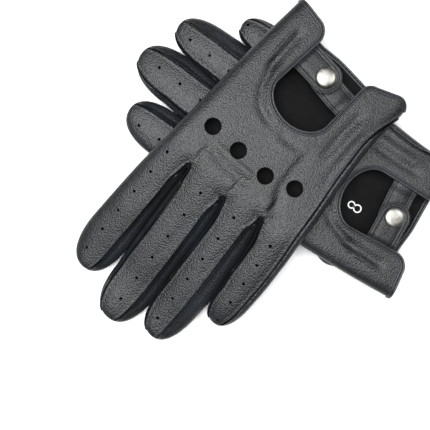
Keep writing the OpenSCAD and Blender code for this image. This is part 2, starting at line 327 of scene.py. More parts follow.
@dataclass(frozen=True)
class GloveForm:
    """The flat glove's outlines and the heights of its back and palm, in millimetres."""

    half_h: float = 5.5
    leather: float = 0.9
    side_r: float = 9.0
    under_r: float = 6.0
    palm_seam_in: float = 1.4
    palm_slot_depth: float = 1.6
    fingers: tuple[Finger, ...] = (
        Finger(
            ((26.3, 122), (25.0, 137), (24.1, 150), (23.1, 163), (21.9, 176), (20.6, 189)),
            ((49.3, 122), (50.4, 137), (51.0, 150), (51.5, 176), (51.6, 189)),
            189, (34.8, 217.6),
            ((1.5, 125.4), (2.5, 130), (4.1, 137), (4.5, 150), (5.3, 163), (6.2, 176), (7.5, 189)),
        ),
        Finger(
            ((-2.9, 122), (-4.4, 128), (-6.6, 137), (-8.2, 150), (-9.4, 163), (-10.8, 176), (-12.2, 189),
             (-14.2, 201)),
            ((25.5, 122), (25.1, 137), (24.2, 150), (23.2, 163), (22.0, 176), (20.6, 189), (19.1, 201)),
            201, (0.9, 231.2),
            ((1.6, 126), (3.2, 131), (5.5, 137), (5.8, 152), (5.9, 170), (6.5, 188), (7.6, 201)),
            ((1.2, 125.4), (1.8, 131), (3.2, 137), (3.9, 152), (4.1, 165), (3.8, 178), (3.1, 189),
             (3.0, 201)),
        ),
        Finger(
            ((-28.8, 117), (-30.6, 122), (-33.8, 132), (-35.8, 141), (-37.5, 152), (-38.7, 159), (-40.3, 169),
             (-41.6, 179), (-41.9, 190)),
            ((-3.8, 117), (-4.1, 124), (-4.5, 128), (-6.5, 137), (-8.0, 150), (-9.2, 163), (-10.6, 176),
             (-12.3, 190)),
            190, (-28.4, 221.0),
            ((1.6, 120), (3.8, 124.5), (6.6, 129), (7.9, 137), (8.8, 148), (9.3, 158),
             (10.0, 171), (10.4, 182), (9.8, 190)),
            ((1.1, 126), (1.4, 131), (1.8, 137), (1.6, 150), (1.6, 163), (1.2, 174), (0.8, 190)),
        ),
        Finger(
            ((-58.2, 117), (-59.4, 125), (-60.8, 137), (-62.1, 150), (-62.8, 165)),
            ((-30.0, 117), (-30.6, 122), (-33.6, 132), (-35.5, 141), (-37.2, 152), (-38.4, 159),
             (-39.8, 165)),
            165, (-52.0, 187.0),
            ((4.9, 110), (4.4, 125), (4.1, 137), (4.2, 150), (4.1, 165)),
            ((1.3, 120), (1.8, 124), (2.5, 129), (1.8, 139), (1.3, 150), (0.9, 159), (0.8, 165)),
        ),
    )
    slots: tuple[Slot, ...] = (
        Slot(25.9, 122.4, 0.4),
        Slot(-3.5, 123.0, 0.7),
        Slot(-29.5, 116.9, 0.6),
    )
    index_side: tuple[Point, ...] = ((44.2, 2), (46.3, 35), (48.1, 95), (49.0, 122))
    little_side: tuple[Point, ...] = ((-50.6, 12), (-49.2, 30), (-51.6, 64), (-55.2, 90), (-58.2, 117))
    palm_cuff: tuple[Point, ...] = (
        (-60, 14.5), (-36, 13.5), (-20, 12), (0, 10.5), (16, 11.5), (30, 8.5), (50, 0),
    )
    knuckles: tuple[Point, ...] = ((31, 95.6), (9.6, 96), (-13.1, 96.5), (-31.7, 90.2))
    knuckle_r: float = 5.2
    perforations: tuple[tuple[Point, Point, int], ...] = (
        ((41.6, 126), (40.6, 206), 6),
        ((9.3, 131), (2.1, 215.5), 6),
        ((-16.2, 128.5), (-23.8, 209), 6),
        ((-44.7, 126.3), (-52.9, 183.5), 5),
    )
    perforation_r: float = 0.95
    keyhole_half: float = 20.5
    keyhole_shoulder: float = 48.0
    keyhole_dome: float = 15.6
    snap_y: float = 27.2

    def outer(self, edge: Edge, y: float) -> float:
        """x of the glove's index side or little-finger side at y."""
        finger = self.fingers[0] if edge is Edge.INDEX else self.fingers[-1]
        if y > finger.base_y:
            return finger.side(edge, y)
        return across_at(self.index_side if edge is Edge.INDEX else self.little_side, y)

    def seam_out(self, y: float) -> float:
        """How far in the seam on the back's little-finger side lies at y."""
        finger = self.fingers[-1]
        if y > finger.base_y:
            return finger.seam_in(Edge.LITTLE, y)
        return lerp(0.3, across_at(finger.little_seam, y), smooth(10, 44, y))

    def slot_of(self, k: int, edge: Edge) -> Optional[Slot]:
        """The slot beside a finger, or None on the glove's outer sides."""
        n = k - 1 if edge is Edge.INDEX else k
        return self.slots[n] if 0 <= n < len(self.slots) else None

    def in_from(self, k: int, edge: Edge, x: float, y: float) -> float:
        """Distance in from finger k's side, or from the end of its slot when y is in the hand."""
        slot = self.slot_of(k, edge)
        if slot is None:
            return edge.value * (self.outer(edge, y) - x)
        if y >= slot.end_y:
            return edge.value * (self.fingers[k].side(edge, y) - x)
        return math.hypot(x - slot.x, y - slot.end_y) - slot.gap

    def top_r(self, k: int, edge: Edge, y: float) -> float:
        """Radius over which the back rounds off towards a side of finger k."""
        finger = self.fingers[k]
        slot = self.slot_of(k, edge)
        hand_r = self.side_r if slot is None else 12.0
        return lerp(hand_r, 0.97 * finger.half(y), smooth(finger.base_y - 18, finger.base_y + 14, y))

    def bottom_r(self, k: int, y: float) -> float:
        """Radius over which the palm rounds off towards the sides of finger k."""
        return max(0.3, min(self.under_r, 0.9 * self.fingers[k].half(y)))

    def rise(self, k: int, y: float) -> float:
        """Half the thickness of the glove at y, less at the fingertip."""
        return self.half_h * self.fingers[k].fade(y) ** 0.55

    def crown(self, k: int, x: float, y: float) -> float:
        """Height of the back's plain surface, with no folds or seams."""
        share = 1.0
        for edge in Edge:
            q = round_off(self.in_from(k, edge, x, y) / max(self.top_r(k, edge, y), 0.2))
            slot = self.slot_of(k, edge)
            deep = 1.0 if slot is None else lerp(0.72, 1.0, smooth(slot.end_y - 4, slot.end_y + 18, y))
            share *= 1 - deep * (1 - q)
        return self.half_h + self.rise(k, y) * share

    def bottom(self, k: int, x: float, y: float) -> float:
        """Height of the palm's outside."""
        share = 1.0
        for edge in Edge:
            share *= round_off(self.in_from(k, edge, x, y) / self.bottom_r(k, y))
        return self.half_h - (self.rise(k, y) - 0.2 * self.fingers[k].fade(y)) * share

    def seam_edge(self, k: int, edge: Edge, y: float, inset: float, depth: float) -> float:
        """x of a panel's edge along a slot.

        Args:
            k: The finger.
            edge: The side of the finger.
            y: The height.
            inset: How far in from the finger's side the edge lies.
            depth: How far past the slot's end the edge turns.

        Returns:
            x on the finger's side, on the turn round the slot's end, or on the slot's line.
        """
        slot = self.slot_of(k, edge)
        if slot is None or y >= slot.end_y:
            return self.fingers[k].side(edge, y) - edge.value * inset
        t = clamp((slot.end_y - y) / depth)
        return slot.x - edge.value * (slot.gap + inset) * math.sqrt(1 - t * t)

    def from_seam(self, k: int, x: float, y: float) -> float:
        """Distance from a point of the back to its nearest seam."""
        nearest = 1e9
        for edge in Edge:
            slot = self.slot_of(k, edge)
            if slot is None:
                if edge is Edge.LITTLE:
                    nearest = min(nearest, x - self.outer(edge, y) - self.seam_out(y))
                continue
            inset = self.fingers[k].seam_in(edge, max(y, slot.end_y))
            if y >= slot.end_y:
                d = edge.value * (self.fingers[k].side(edge, y) - x) - inset
            else:
                ratio = math.hypot((x - slot.x) / (slot.gap + inset), (y - slot.end_y) / slot.depth)
                d = (ratio - 1) * slot.depth
            nearest = min(nearest, d)
        return max(nearest, 0.0)

    def keyhole(self) -> list[Point]:
        """The keyhole's outline from the index flap's corner, over the top, to the little flap's."""
        a = self.keyhole_half
        dome = [
            (a * math.cos(t), self.keyhole_shoulder + self.keyhole_dome * math.sin(t))
            for t in (math.pi * i / 24 for i in range(25))
        ]
        return [(17.6, 13.0), (18.6, 26.0), *dome, (-20.9, 30.0), (-21.2, 18.5)]

    def back_cuff(self) -> list[Point]:
        """The back's whole lower edge, from the index side round the keyhole to the little side."""
        index_flap = [(46.5, 0.0), *arc((27.4, 13), 9.8, 268, 185)]
        little_flap = [*arc((-29.2, 18.5), 8, 0, -80), *arc((-43.4, 12), 7.2, 285, 200, 6)]
        return [*index_flap, *self.keyhole(), *little_flap]


# ---- Mesh helpers ----


def grid(columns: int, rows: int, place: Callable[[int, int], Vector]) -> bmesh.types.BMesh:
    """A grid whose points are moved one by one.

    Args:
        columns: Number of points across.
        rows: Number of points along.
        place: Gives the place of the point in a column and row.

    Returns:
        The moved grid. Its points carry their column in the layer "column".
    """
    bm = bmesh.new()
    bmesh.ops.create_grid(bm, x_segments=columns - 1, y_segments=rows - 1, size=1.0)
    column_layer = bm.verts.layers.int.new("column")
    for v in bm.verts:
        i = round((v.co.x + 1) / 2 * (columns - 1))
        j = round((v.co.y + 1) / 2 * (rows - 1))
        v[column_layer] = i
        v.co = place(i, j)
    return bm


def joined(parts: Iterable[bmesh.types.BMesh]) -> bmesh.types.BMesh:
    """Put several meshes into the first one and free the rest."""
    parts = list(parts)
    whole = parts[0]
    for part in parts[1:]:
        loose = bpy.data.meshes.new("loose")
        part.to_mesh(loose)
        part.free()
        whole.from_mesh(loose)
        bpy.data.meshes.remove(loose)
    return whole


def weld(bm: bmesh.types.BMesh, distance: float = 0.02) -> None:
    """Merge points that lie together and drop faces that have closed up."""
    bmesh.ops.remove_doubles(bm, verts=bm.verts, dist=distance)
    bmesh.ops.dissolve_degenerate(bm, edges=bm.edges, dist=distance / 2)


def trim(bm: bmesh.types.BMesh, outline: Path, edge: Path, reach: float = 1.6) -> None:
    """Cut an outline out of a panel that is still flat, and draw its edge onto a line.

    Args:
        bm: The panel.
        outline: The closed outline that is cut away.
        edge: The line that the cut edge is drawn onto.
        reach: How far off that line a point of the cut edge may be.
    """
    low_x, high_x = min(p[0] for p in outline), max(p[0] for p in outline)
    low_y, high_y = min(p[1] for p in outline), max(p[1] for p in outline)
    waste = []
    for f in bm.faces:
        c = f.calc_center_median()
        if low_x < c.x < high_x and low_y < c.y < high_y and inside(outline, c.x, c.y):
            waste.append(f)
    touched = {v for f in waste for v in f.verts}
    bmesh.ops.delete(bm, geom=waste, context="FACES")
    for v in touched:
        if not v.is_valid:
            continue
        best, target = reach, None
        for (ax, ay), (bx, by) in zip(edge, edge[1:]):
            dx, dy = bx - ax, by - ay
            t = clamp(((v.co.x - ax) * dx + (v.co.y - ay) * dy) / (dx * dx + dy * dy + 1e-12))
            px, py = ax + t * dx, ay + t * dy
            d = math.hypot(v.co.x - px, v.co.y - py)
            if d < best:
                best, target = d, (px, py)
        if target:
            v.co.x, v.co.y = target


# ---- Placing a glove ----

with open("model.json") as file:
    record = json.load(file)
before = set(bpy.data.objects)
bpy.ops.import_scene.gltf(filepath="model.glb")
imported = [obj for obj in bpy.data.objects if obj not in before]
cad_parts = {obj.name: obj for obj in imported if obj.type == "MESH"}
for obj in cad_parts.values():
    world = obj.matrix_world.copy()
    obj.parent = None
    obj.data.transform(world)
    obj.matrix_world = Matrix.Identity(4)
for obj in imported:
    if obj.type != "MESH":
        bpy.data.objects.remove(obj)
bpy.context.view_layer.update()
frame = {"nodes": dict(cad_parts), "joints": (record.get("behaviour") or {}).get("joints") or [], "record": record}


def wrist_mount(side: Side) -> dict:
    """The record's mount in the middle of a glove's wrist opening."""
    return next(m for m in frame["record"]["mounts"] if m["name"] == f"{side.value}_wrist_opening")


@dataclass(frozen=True)
class Lay:
    """How one glove lies: its height over the table, and where the raised part comes down."""

    side: Side
    lift: float
    fold_y: float
    run: float
    bunch: float = 0.0
    bunch_from: float = 68.0
    bunch_to: float = 116.0

    def bunched(self, y: float) -> float:
        """Where y comes to lie when the hand is bunched up along its length."""
        return y - self.bunch * clamp((y - self.bunch_from) / (self.bunch_to - self.bunch_from))

    def height(self, y: float) -> float:
        """Height of the glove's underside over the table at y."""
        spread = 9.0
        t = (y - self.fold_y) / self.run
        if t <= -spread / self.run:
            return self.lift
        eased = clamp(t)
        for at, sign in ((0.0, 1.0), (1.0, -1.0)):
            near = clamp(1 - abs(t - at) * self.run / spread)
            eased += sign * near * near * spread / self.run / 4
        return self.lift * (1 - clamp(eased))

    def matrix(self) -> Matrix:
        """The turn, place and mirroring that take the left hand's drawing to this glove, in metres."""
        mount = wrist_mount(self.side)
        axis = Vector(mount["axis"]).normalized()
        along = -axis
        across = Vector((along.y, -along.x, 0))
        if self.side is Side.RIGHT:
            across = -across
        place = Vector(mount["pos_m"]) + axis * WRIST_MOUNT_IN
        rows = [[across[i] * MM, along[i] * MM, 0, place[i]] for i in range(2)]
        return Matrix([*rows, [0, 0, MM, 0], [0, 0, 0, 1]])

    @property
    def glove_body(self) -> str:
        """Name of the body that the glove rides on."""
        return f"{self.side.value}_glove"

    @property
    def closure_body(self) -> str:
        """Name of the body that the flap rides on."""
        return f"{self.side.value}_closure"

    def name(self, part: str) -> str:
        """A part's name on this glove."""
        return f"{self.side.value}_{part}"


@dataclass
class Maker:
    """Turns a bmesh drawn on one glove into a finished object in its place."""

    lay: Lay

    def bend(self, bm: bmesh.types.BMesh, laid: bool = True) -> None:
        """Lift the drawing by the glove's lay, then put it in its place."""
        for v in bm.verts:
            if laid:
                v.co.y = self.lay.bunched(v.co.y)
            v.co.z += self.lay.height(v.co.y) if laid else self.lay.lift
        bm.transform(self.lay.matrix())
        if self.lay.side is Side.RIGHT:
            bmesh.ops.reverse_faces(bm, faces=bm.faces)

    def make(
        self,
        bm: bmesh.types.BMesh,
        part: str,
        materials: Sequence[bpy.types.Material],
        laid: bool = True,
        wall: float = 0.0,
        sharp: float = 50.0,
    ) -> bpy.types.Object:
        """Finish a piece.

        Args:
            bm: The drawing, with faces pointing outwards.
            part: The piece's name, without its side.
            materials: The outside's material, then the inside's and the cut edge's if it has a wall.
            laid: Whether the piece follows the glove's lay, or stands level.
            wall: Thickness given to the inside, in millimetres.
            sharp: The angle in degrees past which an edge is shaded sharp.

        Returns:
            The object, at the origin with its place in its mesh.
        """
        self.bend(bm, laid)
        mesh = bpy.data.meshes.new(self.lay.name(part))
        for f in bm.faces:
            f.smooth = True
        for e in bm.edges:
            if len(e.link_faces) == 2 and e.calc_face_angle(0) > math.radians(sharp):
                e.smooth = False
        bm.to_mesh(mesh)
        bm.free()
        obj = bpy.data.objects.new(self.lay.name(part), mesh)
        bpy.context.scene.collection.objects.link(obj)
        for material in materials:
            mesh.materials.append(material)
        if wall:
            solid = obj.modifiers.new("wall", "SOLIDIFY")
            solid.thickness = wall * MM
            solid.offset = -1
            solid.use_even_offset = False
            solid.material_offset = min(1, len(materials) - 1)
            solid.material_offset_rim = min(2, len(materials) - 1)
        LOG.info("%s: %d faces", obj.name, len(mesh.polygons))
        return obj


def face_up(bm: bmesh.types.BMesh, up: bool = True) -> None:
    """Make the faces of a sheet agree, most of them pointing up, or down."""
    bmesh.ops.recalc_face_normals(bm, faces=bm.faces)
    total = sum(f.normal.z * f.calc_area() for f in bm.faces)
    if (total > 0) != up:
        bmesh.ops.reverse_faces(bm, faces=bm.faces)


def bore(bm: bmesh.types.BMesh, centre: Point, radius: float, margin: float) -> None:
    """Cut a round hole in a panel that is still flat, its rim extruded inwards from the grid.

    Args:
        bm: The panel, flat.
        centre: The hole's centre.
        radius: The hole's radius.
        margin: How far outside the hole the grid's own faces are cleared.
    """
    reach = radius + margin
    old = [f for f in bm.faces if math.dist(f.calc_center_median()[:2], centre) < reach]
    if not old:
        return
    rim = [e for e in {e for f in old for e in f.edges} if any(g not in old for g in e.link_faces)]
    bmesh.ops.delete(bm, geom=old, context="FACES")
    for share in (0.4, 0.0):
        grown = bmesh.ops.extrude_edge_only(bm, edges=[e for e in rim if e.is_valid])["geom"]
        rim = [g for g in grown if isinstance(g, bmesh.types.BMEdge) and g.is_boundary]
        points = {v for e in rim for v in e.verts}
        turns = sorted((math.atan2(v.co.y - centre[1], v.co.x - centre[0]), v.index, v) for v in points)
        start = sum(t[0] - 2 * math.pi * i / len(turns) for i, t in enumerate(turns)) / len(turns)
        for i, (turn, _, v) in enumerate(turns):
            even = lerp(turn, start + 2 * math.pi * i / len(turns), 0.85)
            r = lerp(radius, reach, share)
            v.co = Vector((centre[0] + r * math.cos(even), centre[1] + r * math.sin(even), 0))


# ---- Leather panels ----


@dataclass(frozen=True)
class PanelGrid:
    """Where the points of a long panel's grid lie."""

    seam_steps: tuple[float, ...] = (0.0, 0.16, 0.4, 0.75, 1.15, 1.6, 2.3)
    across: int = 13
    row_step: float = 1.15
    cuff_y: float = -1.0
    shared_y: float = 127.0
    tip_rows: int = 20

    def rows(self, finger: Finger, marks: Sequence[float]) -> list[float]:
        """The y of every row of one finger's strip, from the cuff to the tip."""
        ys = []
        stops = [self.cuff_y, *sorted(marks), self.shared_y, finger.belly_y]
        for a, b in zip(stops, stops[1:]):
            count = max(1, round((b - a) / self.row_step))
            ys += [lerp(a, b, i / count) for i in range(count)]
        reach = finger.tip[1] - finger.belly_y
        for i in range(self.tip_rows + 1):
            a = math.pi / 2 * i / self.tip_rows
            ys.append(finger.belly_y + reach * math.sin(a) ** 0.85)
        return ys

    def columns(self, low: float, high: float) -> list[float]:
        """x of every column between two edges, close together at both."""
        width = high - low
        share = min(1.0, width / (2.6 * self.seam_steps[-1]))
        near = [s * share for s in self.seam_steps]
        middle = width - 2 * near[-1]
        inner = [near[-1] + middle * (i + 1) / (self.across + 1) for i in range(self.across)]
        return [low + d for d in [*near, *inner, *(width - s for s in reversed(near))]]


@dataclass(frozen=True)
class Folds:
    """The soft folds and puckers that use has left in the leather of the back."""

    creases: tuple[Crease, ...] = (
        Crease(((0, 71), (10, 70.5), (18, 67), (25, 58), (29, 45), (30, 34)), 1.0, 2.6, 0.7, -5.2),
        Crease(((-20, 69), (-10, 71.5), (0, 71)), 0.5, 2.6, 0.3, 5.0),
        Crease(((-16, 105), (-6, 107.5), (6, 108.5), (18, 107.5), (30, 104)), 1.0, 3.4, 0.5, -6.0),
        Crease(((-24, 62), (-23.6, 80), (-25, 95), (-33, 109), (-45, 121)), 1.0, 3.4, 0.45, -6.5),
        Crease(((30, 12), (29.5, 30), (30.5, 50)), 1.1, 3.0, 0.6, -5.0),
        Crease(((-32, 24), (-31, 45), (-32, 70)), 1.0, 3.2, 0.5, 5.5),
        Crease(((-42, 30), (-41, 55), (-44, 85)), 0.5, 3.0, 0.3, 5.0),
        Crease(((25, 119), (25.6, 113), (24.5, 106)), 0.42, 1.5, 0.2, 2.6),
        Crease(((22, 120), (19, 115)), 0.32, 1.3),
        Crease(((28.5, 120), (31.5, 114.5)), 0.28, 1.3),
        Crease(((-3.4, 119.5), (-4, 114), (-3, 108)), 0.42, 1.5, 0.2, 2.6),
        Crease(((-7, 120), (-10.5, 115)), 0.3, 1.3),
        Crease(((0.5, 120), (3.5, 115)), 0.28, 1.3),
        Crease(((-28.8, 113.5), (-29.5, 107), (-28, 101)), 0.42, 1.6, 0.25, 2.8),
        Crease(((-25.5, 114), (-21.5, 109)), 0.3, 1.3),
        Crease(((-32.5, 114), (-36.5, 109.5)), 0.3, 1.3),
        Crease(((40, 128), (37, 150), (38.5, 172)), 0.35, 3.4, 0.25, 6.0),
        Crease(((5, 140), (2.5, 165), (5, 190)), 0.35, 3.4, 0.25, 6.0),
        Crease(((-24, 132), (-26.5, 152), (-25.5, 175)), 0.35, 3.2, 0.2, 6.0),
    )
    swell: float = 0.45
    ripple: float = 0.07

    def height(self, x: float, y: float) -> float:
        """The folds' rise or fall, with a slow swell and a fine ripple over the whole back."""
        total = sum(c.height(x, y) for c in self.creases)
        total += self.swell * noise.noise(Vector((x / 21, y / 27, 3.1)))
        total += self.ripple * noise.noise(Vector((x / 6.5, y / 8, 7.7)))
        return total


@dataclass(frozen=True)
class BackPanel:
    """The one-piece back of the hand and fingers, rolled over the index side."""

    form: GloveForm
    folds: Folds
    mesh: PanelGrid = PanelGrid()
    roll_step: float = 5.0
    roll_end: float = -40.0
    ridge: float = 0.62
    groove: float = 1.0

    def seam_relief(self, away: float, fade: float) -> float:
        """Rise of the leather beside an outside seam: down at the seam, with a ridge 1 mm from it."""
        return fade * (self.ridge * bell(away - 1.05, 0.55) - self.groove * bell(away, 0.5))

    def strip(self, k: int) -> bmesh.types.BMesh:
        """One finger's strip of the back, flat, from the cuff to the tip."""
        form, finger = self.form, self.form.fingers[k]
        marks = sorted({s.y for s in form.slots} | {s.end_y for s in form.slots})
        ys = self.mesh.rows(finger, marks)
        rolled = form.slot_of(k, Edge.INDEX) is None
        table = []
        for y in ys:
            limits = []
            for edge in (Edge.LITTLE, Edge.INDEX):
                slot = form.slot_of(k, edge)
                if slot is None and edge is Edge.INDEX:
                    limits.append(form.outer(edge, y) - form.top_r(k, edge, y))
                elif slot is None:
                    limits.append(form.outer(edge, y) + form.seam_out(y))
                elif y <= slot.y:
                    limits.append(slot.x)
                else:
                    limits.append(form.seam_edge(k, edge, y, finger.seam_in(edge, y), slot.depth))
            table.append(self.mesh.columns(limits[0], max(limits)))
        plain = len(table[0])
        rolls = round((90 - self.roll_end) / self.roll_step) if rolled else 0

        def place(i: int, j: int) -> Vector:
            """Flat place of a grid point: the rolled-over columns are laid out past the side."""
            if i < plain:
                return Vector((table[j][i], ys[j], 0))
            radius = form.top_r(k, Edge.INDEX, ys[j])
            turn = math.radians(self.roll_step * (i - plain + 1))
            return Vector((table[j][-1] + radius * turn, ys[j], 0))

        bm = grid(plain + rolls, len(ys), place)
        finger_layer = bm.verts.layers.int.new("finger")
        for v in bm.verts:
            v[finger_layer] = k
        return bm

    def laid_out(self, k: int, x: float, y: float) -> float:
        """x on the flat panel of a point that lies over the rolled index side."""
        radius = self.form.top_r(k, Edge.INDEX, y)
        start = self.form.outer(Edge.INDEX, y) - radius
        if self.form.slot_of(k, Edge.INDEX) is not None or x <= start:
            return x
        return start + radius * math.asin(clamp((x - start) / radius))

    def raise_up(self, bm: bmesh.types.BMesh) -> None:
        """Move the flat panel's points to their heights."""
        form = self.form
        finger_layer = bm.verts.layers.int.get("finger")
        for v in bm.verts:
            k = v[finger_layer]
            x, y = v.co.x, v.co.y
            fade = form.fingers[k].fade(y)
            radius = max(form.top_r(k, Edge.INDEX, y), 1e-4)
            over = x - (form.outer(Edge.INDEX, y) - radius)
            if form.slot_of(k, Edge.INDEX) is None and over > 0:
                turn = math.pi / 2 - over / radius
                upper = turn >= 0
                bend = radius if upper else form.bottom_r(k, y)
                x = form.outer(Edge.INDEX, y) - bend * (1 - math.cos(turn))
                z = form.crown(k, x, y) if upper else form.bottom(k, x, y)
                if upper:
                    z += self.folds.height(x, y) * math.sin(turn) * min(1.0, fade * 1.6)
                v.co = Vector((x, y, z))
                continue
            z = form.crown(k, x, y)
            z += self.seam_relief(form.from_seam(k, x, y), min(1.0, fade * 1.5))
            z += self.folds.height(x, y) * min(1.0, fade * 1.6)
            v.co.z = z

    def build(self) -> bmesh.types.BMesh:
        """The whole back panel, open underneath."""
        form = self.form
        bm = joined(self.strip(k) for k in range(len(form.fingers)))
        weld(bm, 0.03)
        edge = form.back_cuff()
        waste = [(60, -5), (60, 0.0), *edge, (-50.8, 16), (-60, 16), (-60, -5)]
        trim(bm, waste, [(62, 0.0), *edge, (-50.8, 16), (-60, 16)])
        for centre in form.knuckles:
            bore(bm, centre, form.knuckle_r, 0.9)
        for k, (start, end, count) in enumerate(form.perforations):
            for i in range(count):
                t = i / (count - 1)
                x, y = lerp(start[0], end[0], t), lerp(start[1], end[1], t)
                bore(bm, (self.laid_out(k, x, y), y), form.perforation_r, 0.75)
        face_up(bm)
        self.raise_up(bm)
        return bm


@dataclass(frozen=True)
class PalmPanel:
    """The palm and the fingers' undersides, wrapped up over the glove's little-finger side."""

    form: GloveForm
    mesh: PanelGrid = PanelGrid(
        across=9, row_step=1.9, seam_steps=(0.0, 0.4, 1.0, 2.0, 3.4, 5.0), tip_rows=14
    )
    wrap_steps: tuple[float, ...] = (1.0, 0.8, 0.6, 0.4, 0.2, 0.0)
    thumb_hole: Point = (34.5, 46)
    thumb_hole_r: float = 10.5

    def strip(self, k: int) -> bmesh.types.BMesh:
        """One finger's strip of the palm, flat, with the wrap laid out past the little-finger side."""
        form, finger = self.form, self.form.fingers[k]
        ends = {s.end_y for s in form.slots}
        marks = sorted({y - form.palm_slot_depth for y in ends} | ends)
        ys = self.mesh.rows(finger, marks)
        wrapped = form.slot_of(k, Edge.LITTLE) is None
        wraps = self.wrap_steps[:-1] if wrapped else ()
        table = []
        for y in ys:
            limits = []
            for edge in (Edge.LITTLE, Edge.INDEX):
                slot = form.slot_of(k, edge)
                side = form.outer(edge, y) if slot is None else finger.side(edge, y)
                inset = self.form.palm_seam_in * finger.fade(y)
                if slot is None:
                    limits.append(side - edge.value * (inset if edge is Edge.INDEX else 0.0))
                elif y <= slot.end_y - form.palm_slot_depth:
                    limits.append(slot.x)
                else:
                    limits.append(form.seam_edge(k, edge, y, inset, form.palm_slot_depth))
            table.append(self.mesh.columns(limits[0], max(limits)))

        def place(i: int, j: int) -> Vector:
            """Flat place of a grid point."""
            if i < len(wraps):
                reach = form.seam_out(ys[j]) + form.half_h
                return Vector((table[j][0] - reach * wraps[i], ys[j], 0))
            return Vector((table[j][i - len(wraps)], ys[j], 0))

        bm = grid(len(table[0]) + len(wraps), len(ys), place)
        finger_layer = bm.verts.layers.int.new("finger")
        wrap_layer = bm.verts.layers.int.new("wrap")
        column_layer = bm.verts.layers.int.get("column")
        for v in bm.verts:
            v[finger_layer] = k
            v[wrap_layer] = max(0, len(wraps) - v[column_layer])
        return bm

    def build(self, relief: Callable[[float, float], float]) -> bmesh.types.BMesh:
        """The whole palm panel.

        Args:
            relief: The rise beside a seam at a distance from it, as on the back.

        Returns:
            The panel, its outside facing down.
        """
        form = self.form
        bm = joined(self.strip(k) for k in range(len(form.fingers)))
        weld(bm, 0.03)
        low = [*reversed(form.palm_cuff), (80, 0)]
        low = sorted({(x, y) for x, y in low})
        trim(bm, [(-80, -9), (-80, 14.5), *low, (80, -9)], [(-80, 14.5), *low])
        bore(bm, self.thumb_hole, self.thumb_hole_r, 1.6)
        finger_layer = bm.verts.layers.int.get("finger")
        wrap_layer = bm.verts.layers.int.get("wrap")
        steps = len(self.wrap_steps) - 1
        for v in bm.verts:
            k, (x, y) = v[finger_layer], v.co[:2]
            fade = form.fingers[k].fade(y)
            if v[wrap_layer] and form.slot_of(k, Edge.LITTLE) is None:
                share = v[wrap_layer] / steps
                radius = max(form.top_r(k, Edge.LITTLE, y), 0.2)
                full = math.acos(clamp(1 - form.seam_out(y) / radius, -1, 1))
                turn = full * share
                x = form.outer(Edge.LITTLE, y) + radius * (1 - math.cos(turn))
                away = (1 - share) * full * radius
                z = form.crown(k, x, y) + relief(away, min(1.0, fade * 1.5))
                v.co = Vector((x, y, z))
                continue
            v.co.z = form.bottom(k, x, y)
        face_up(bm, False)
        return bm


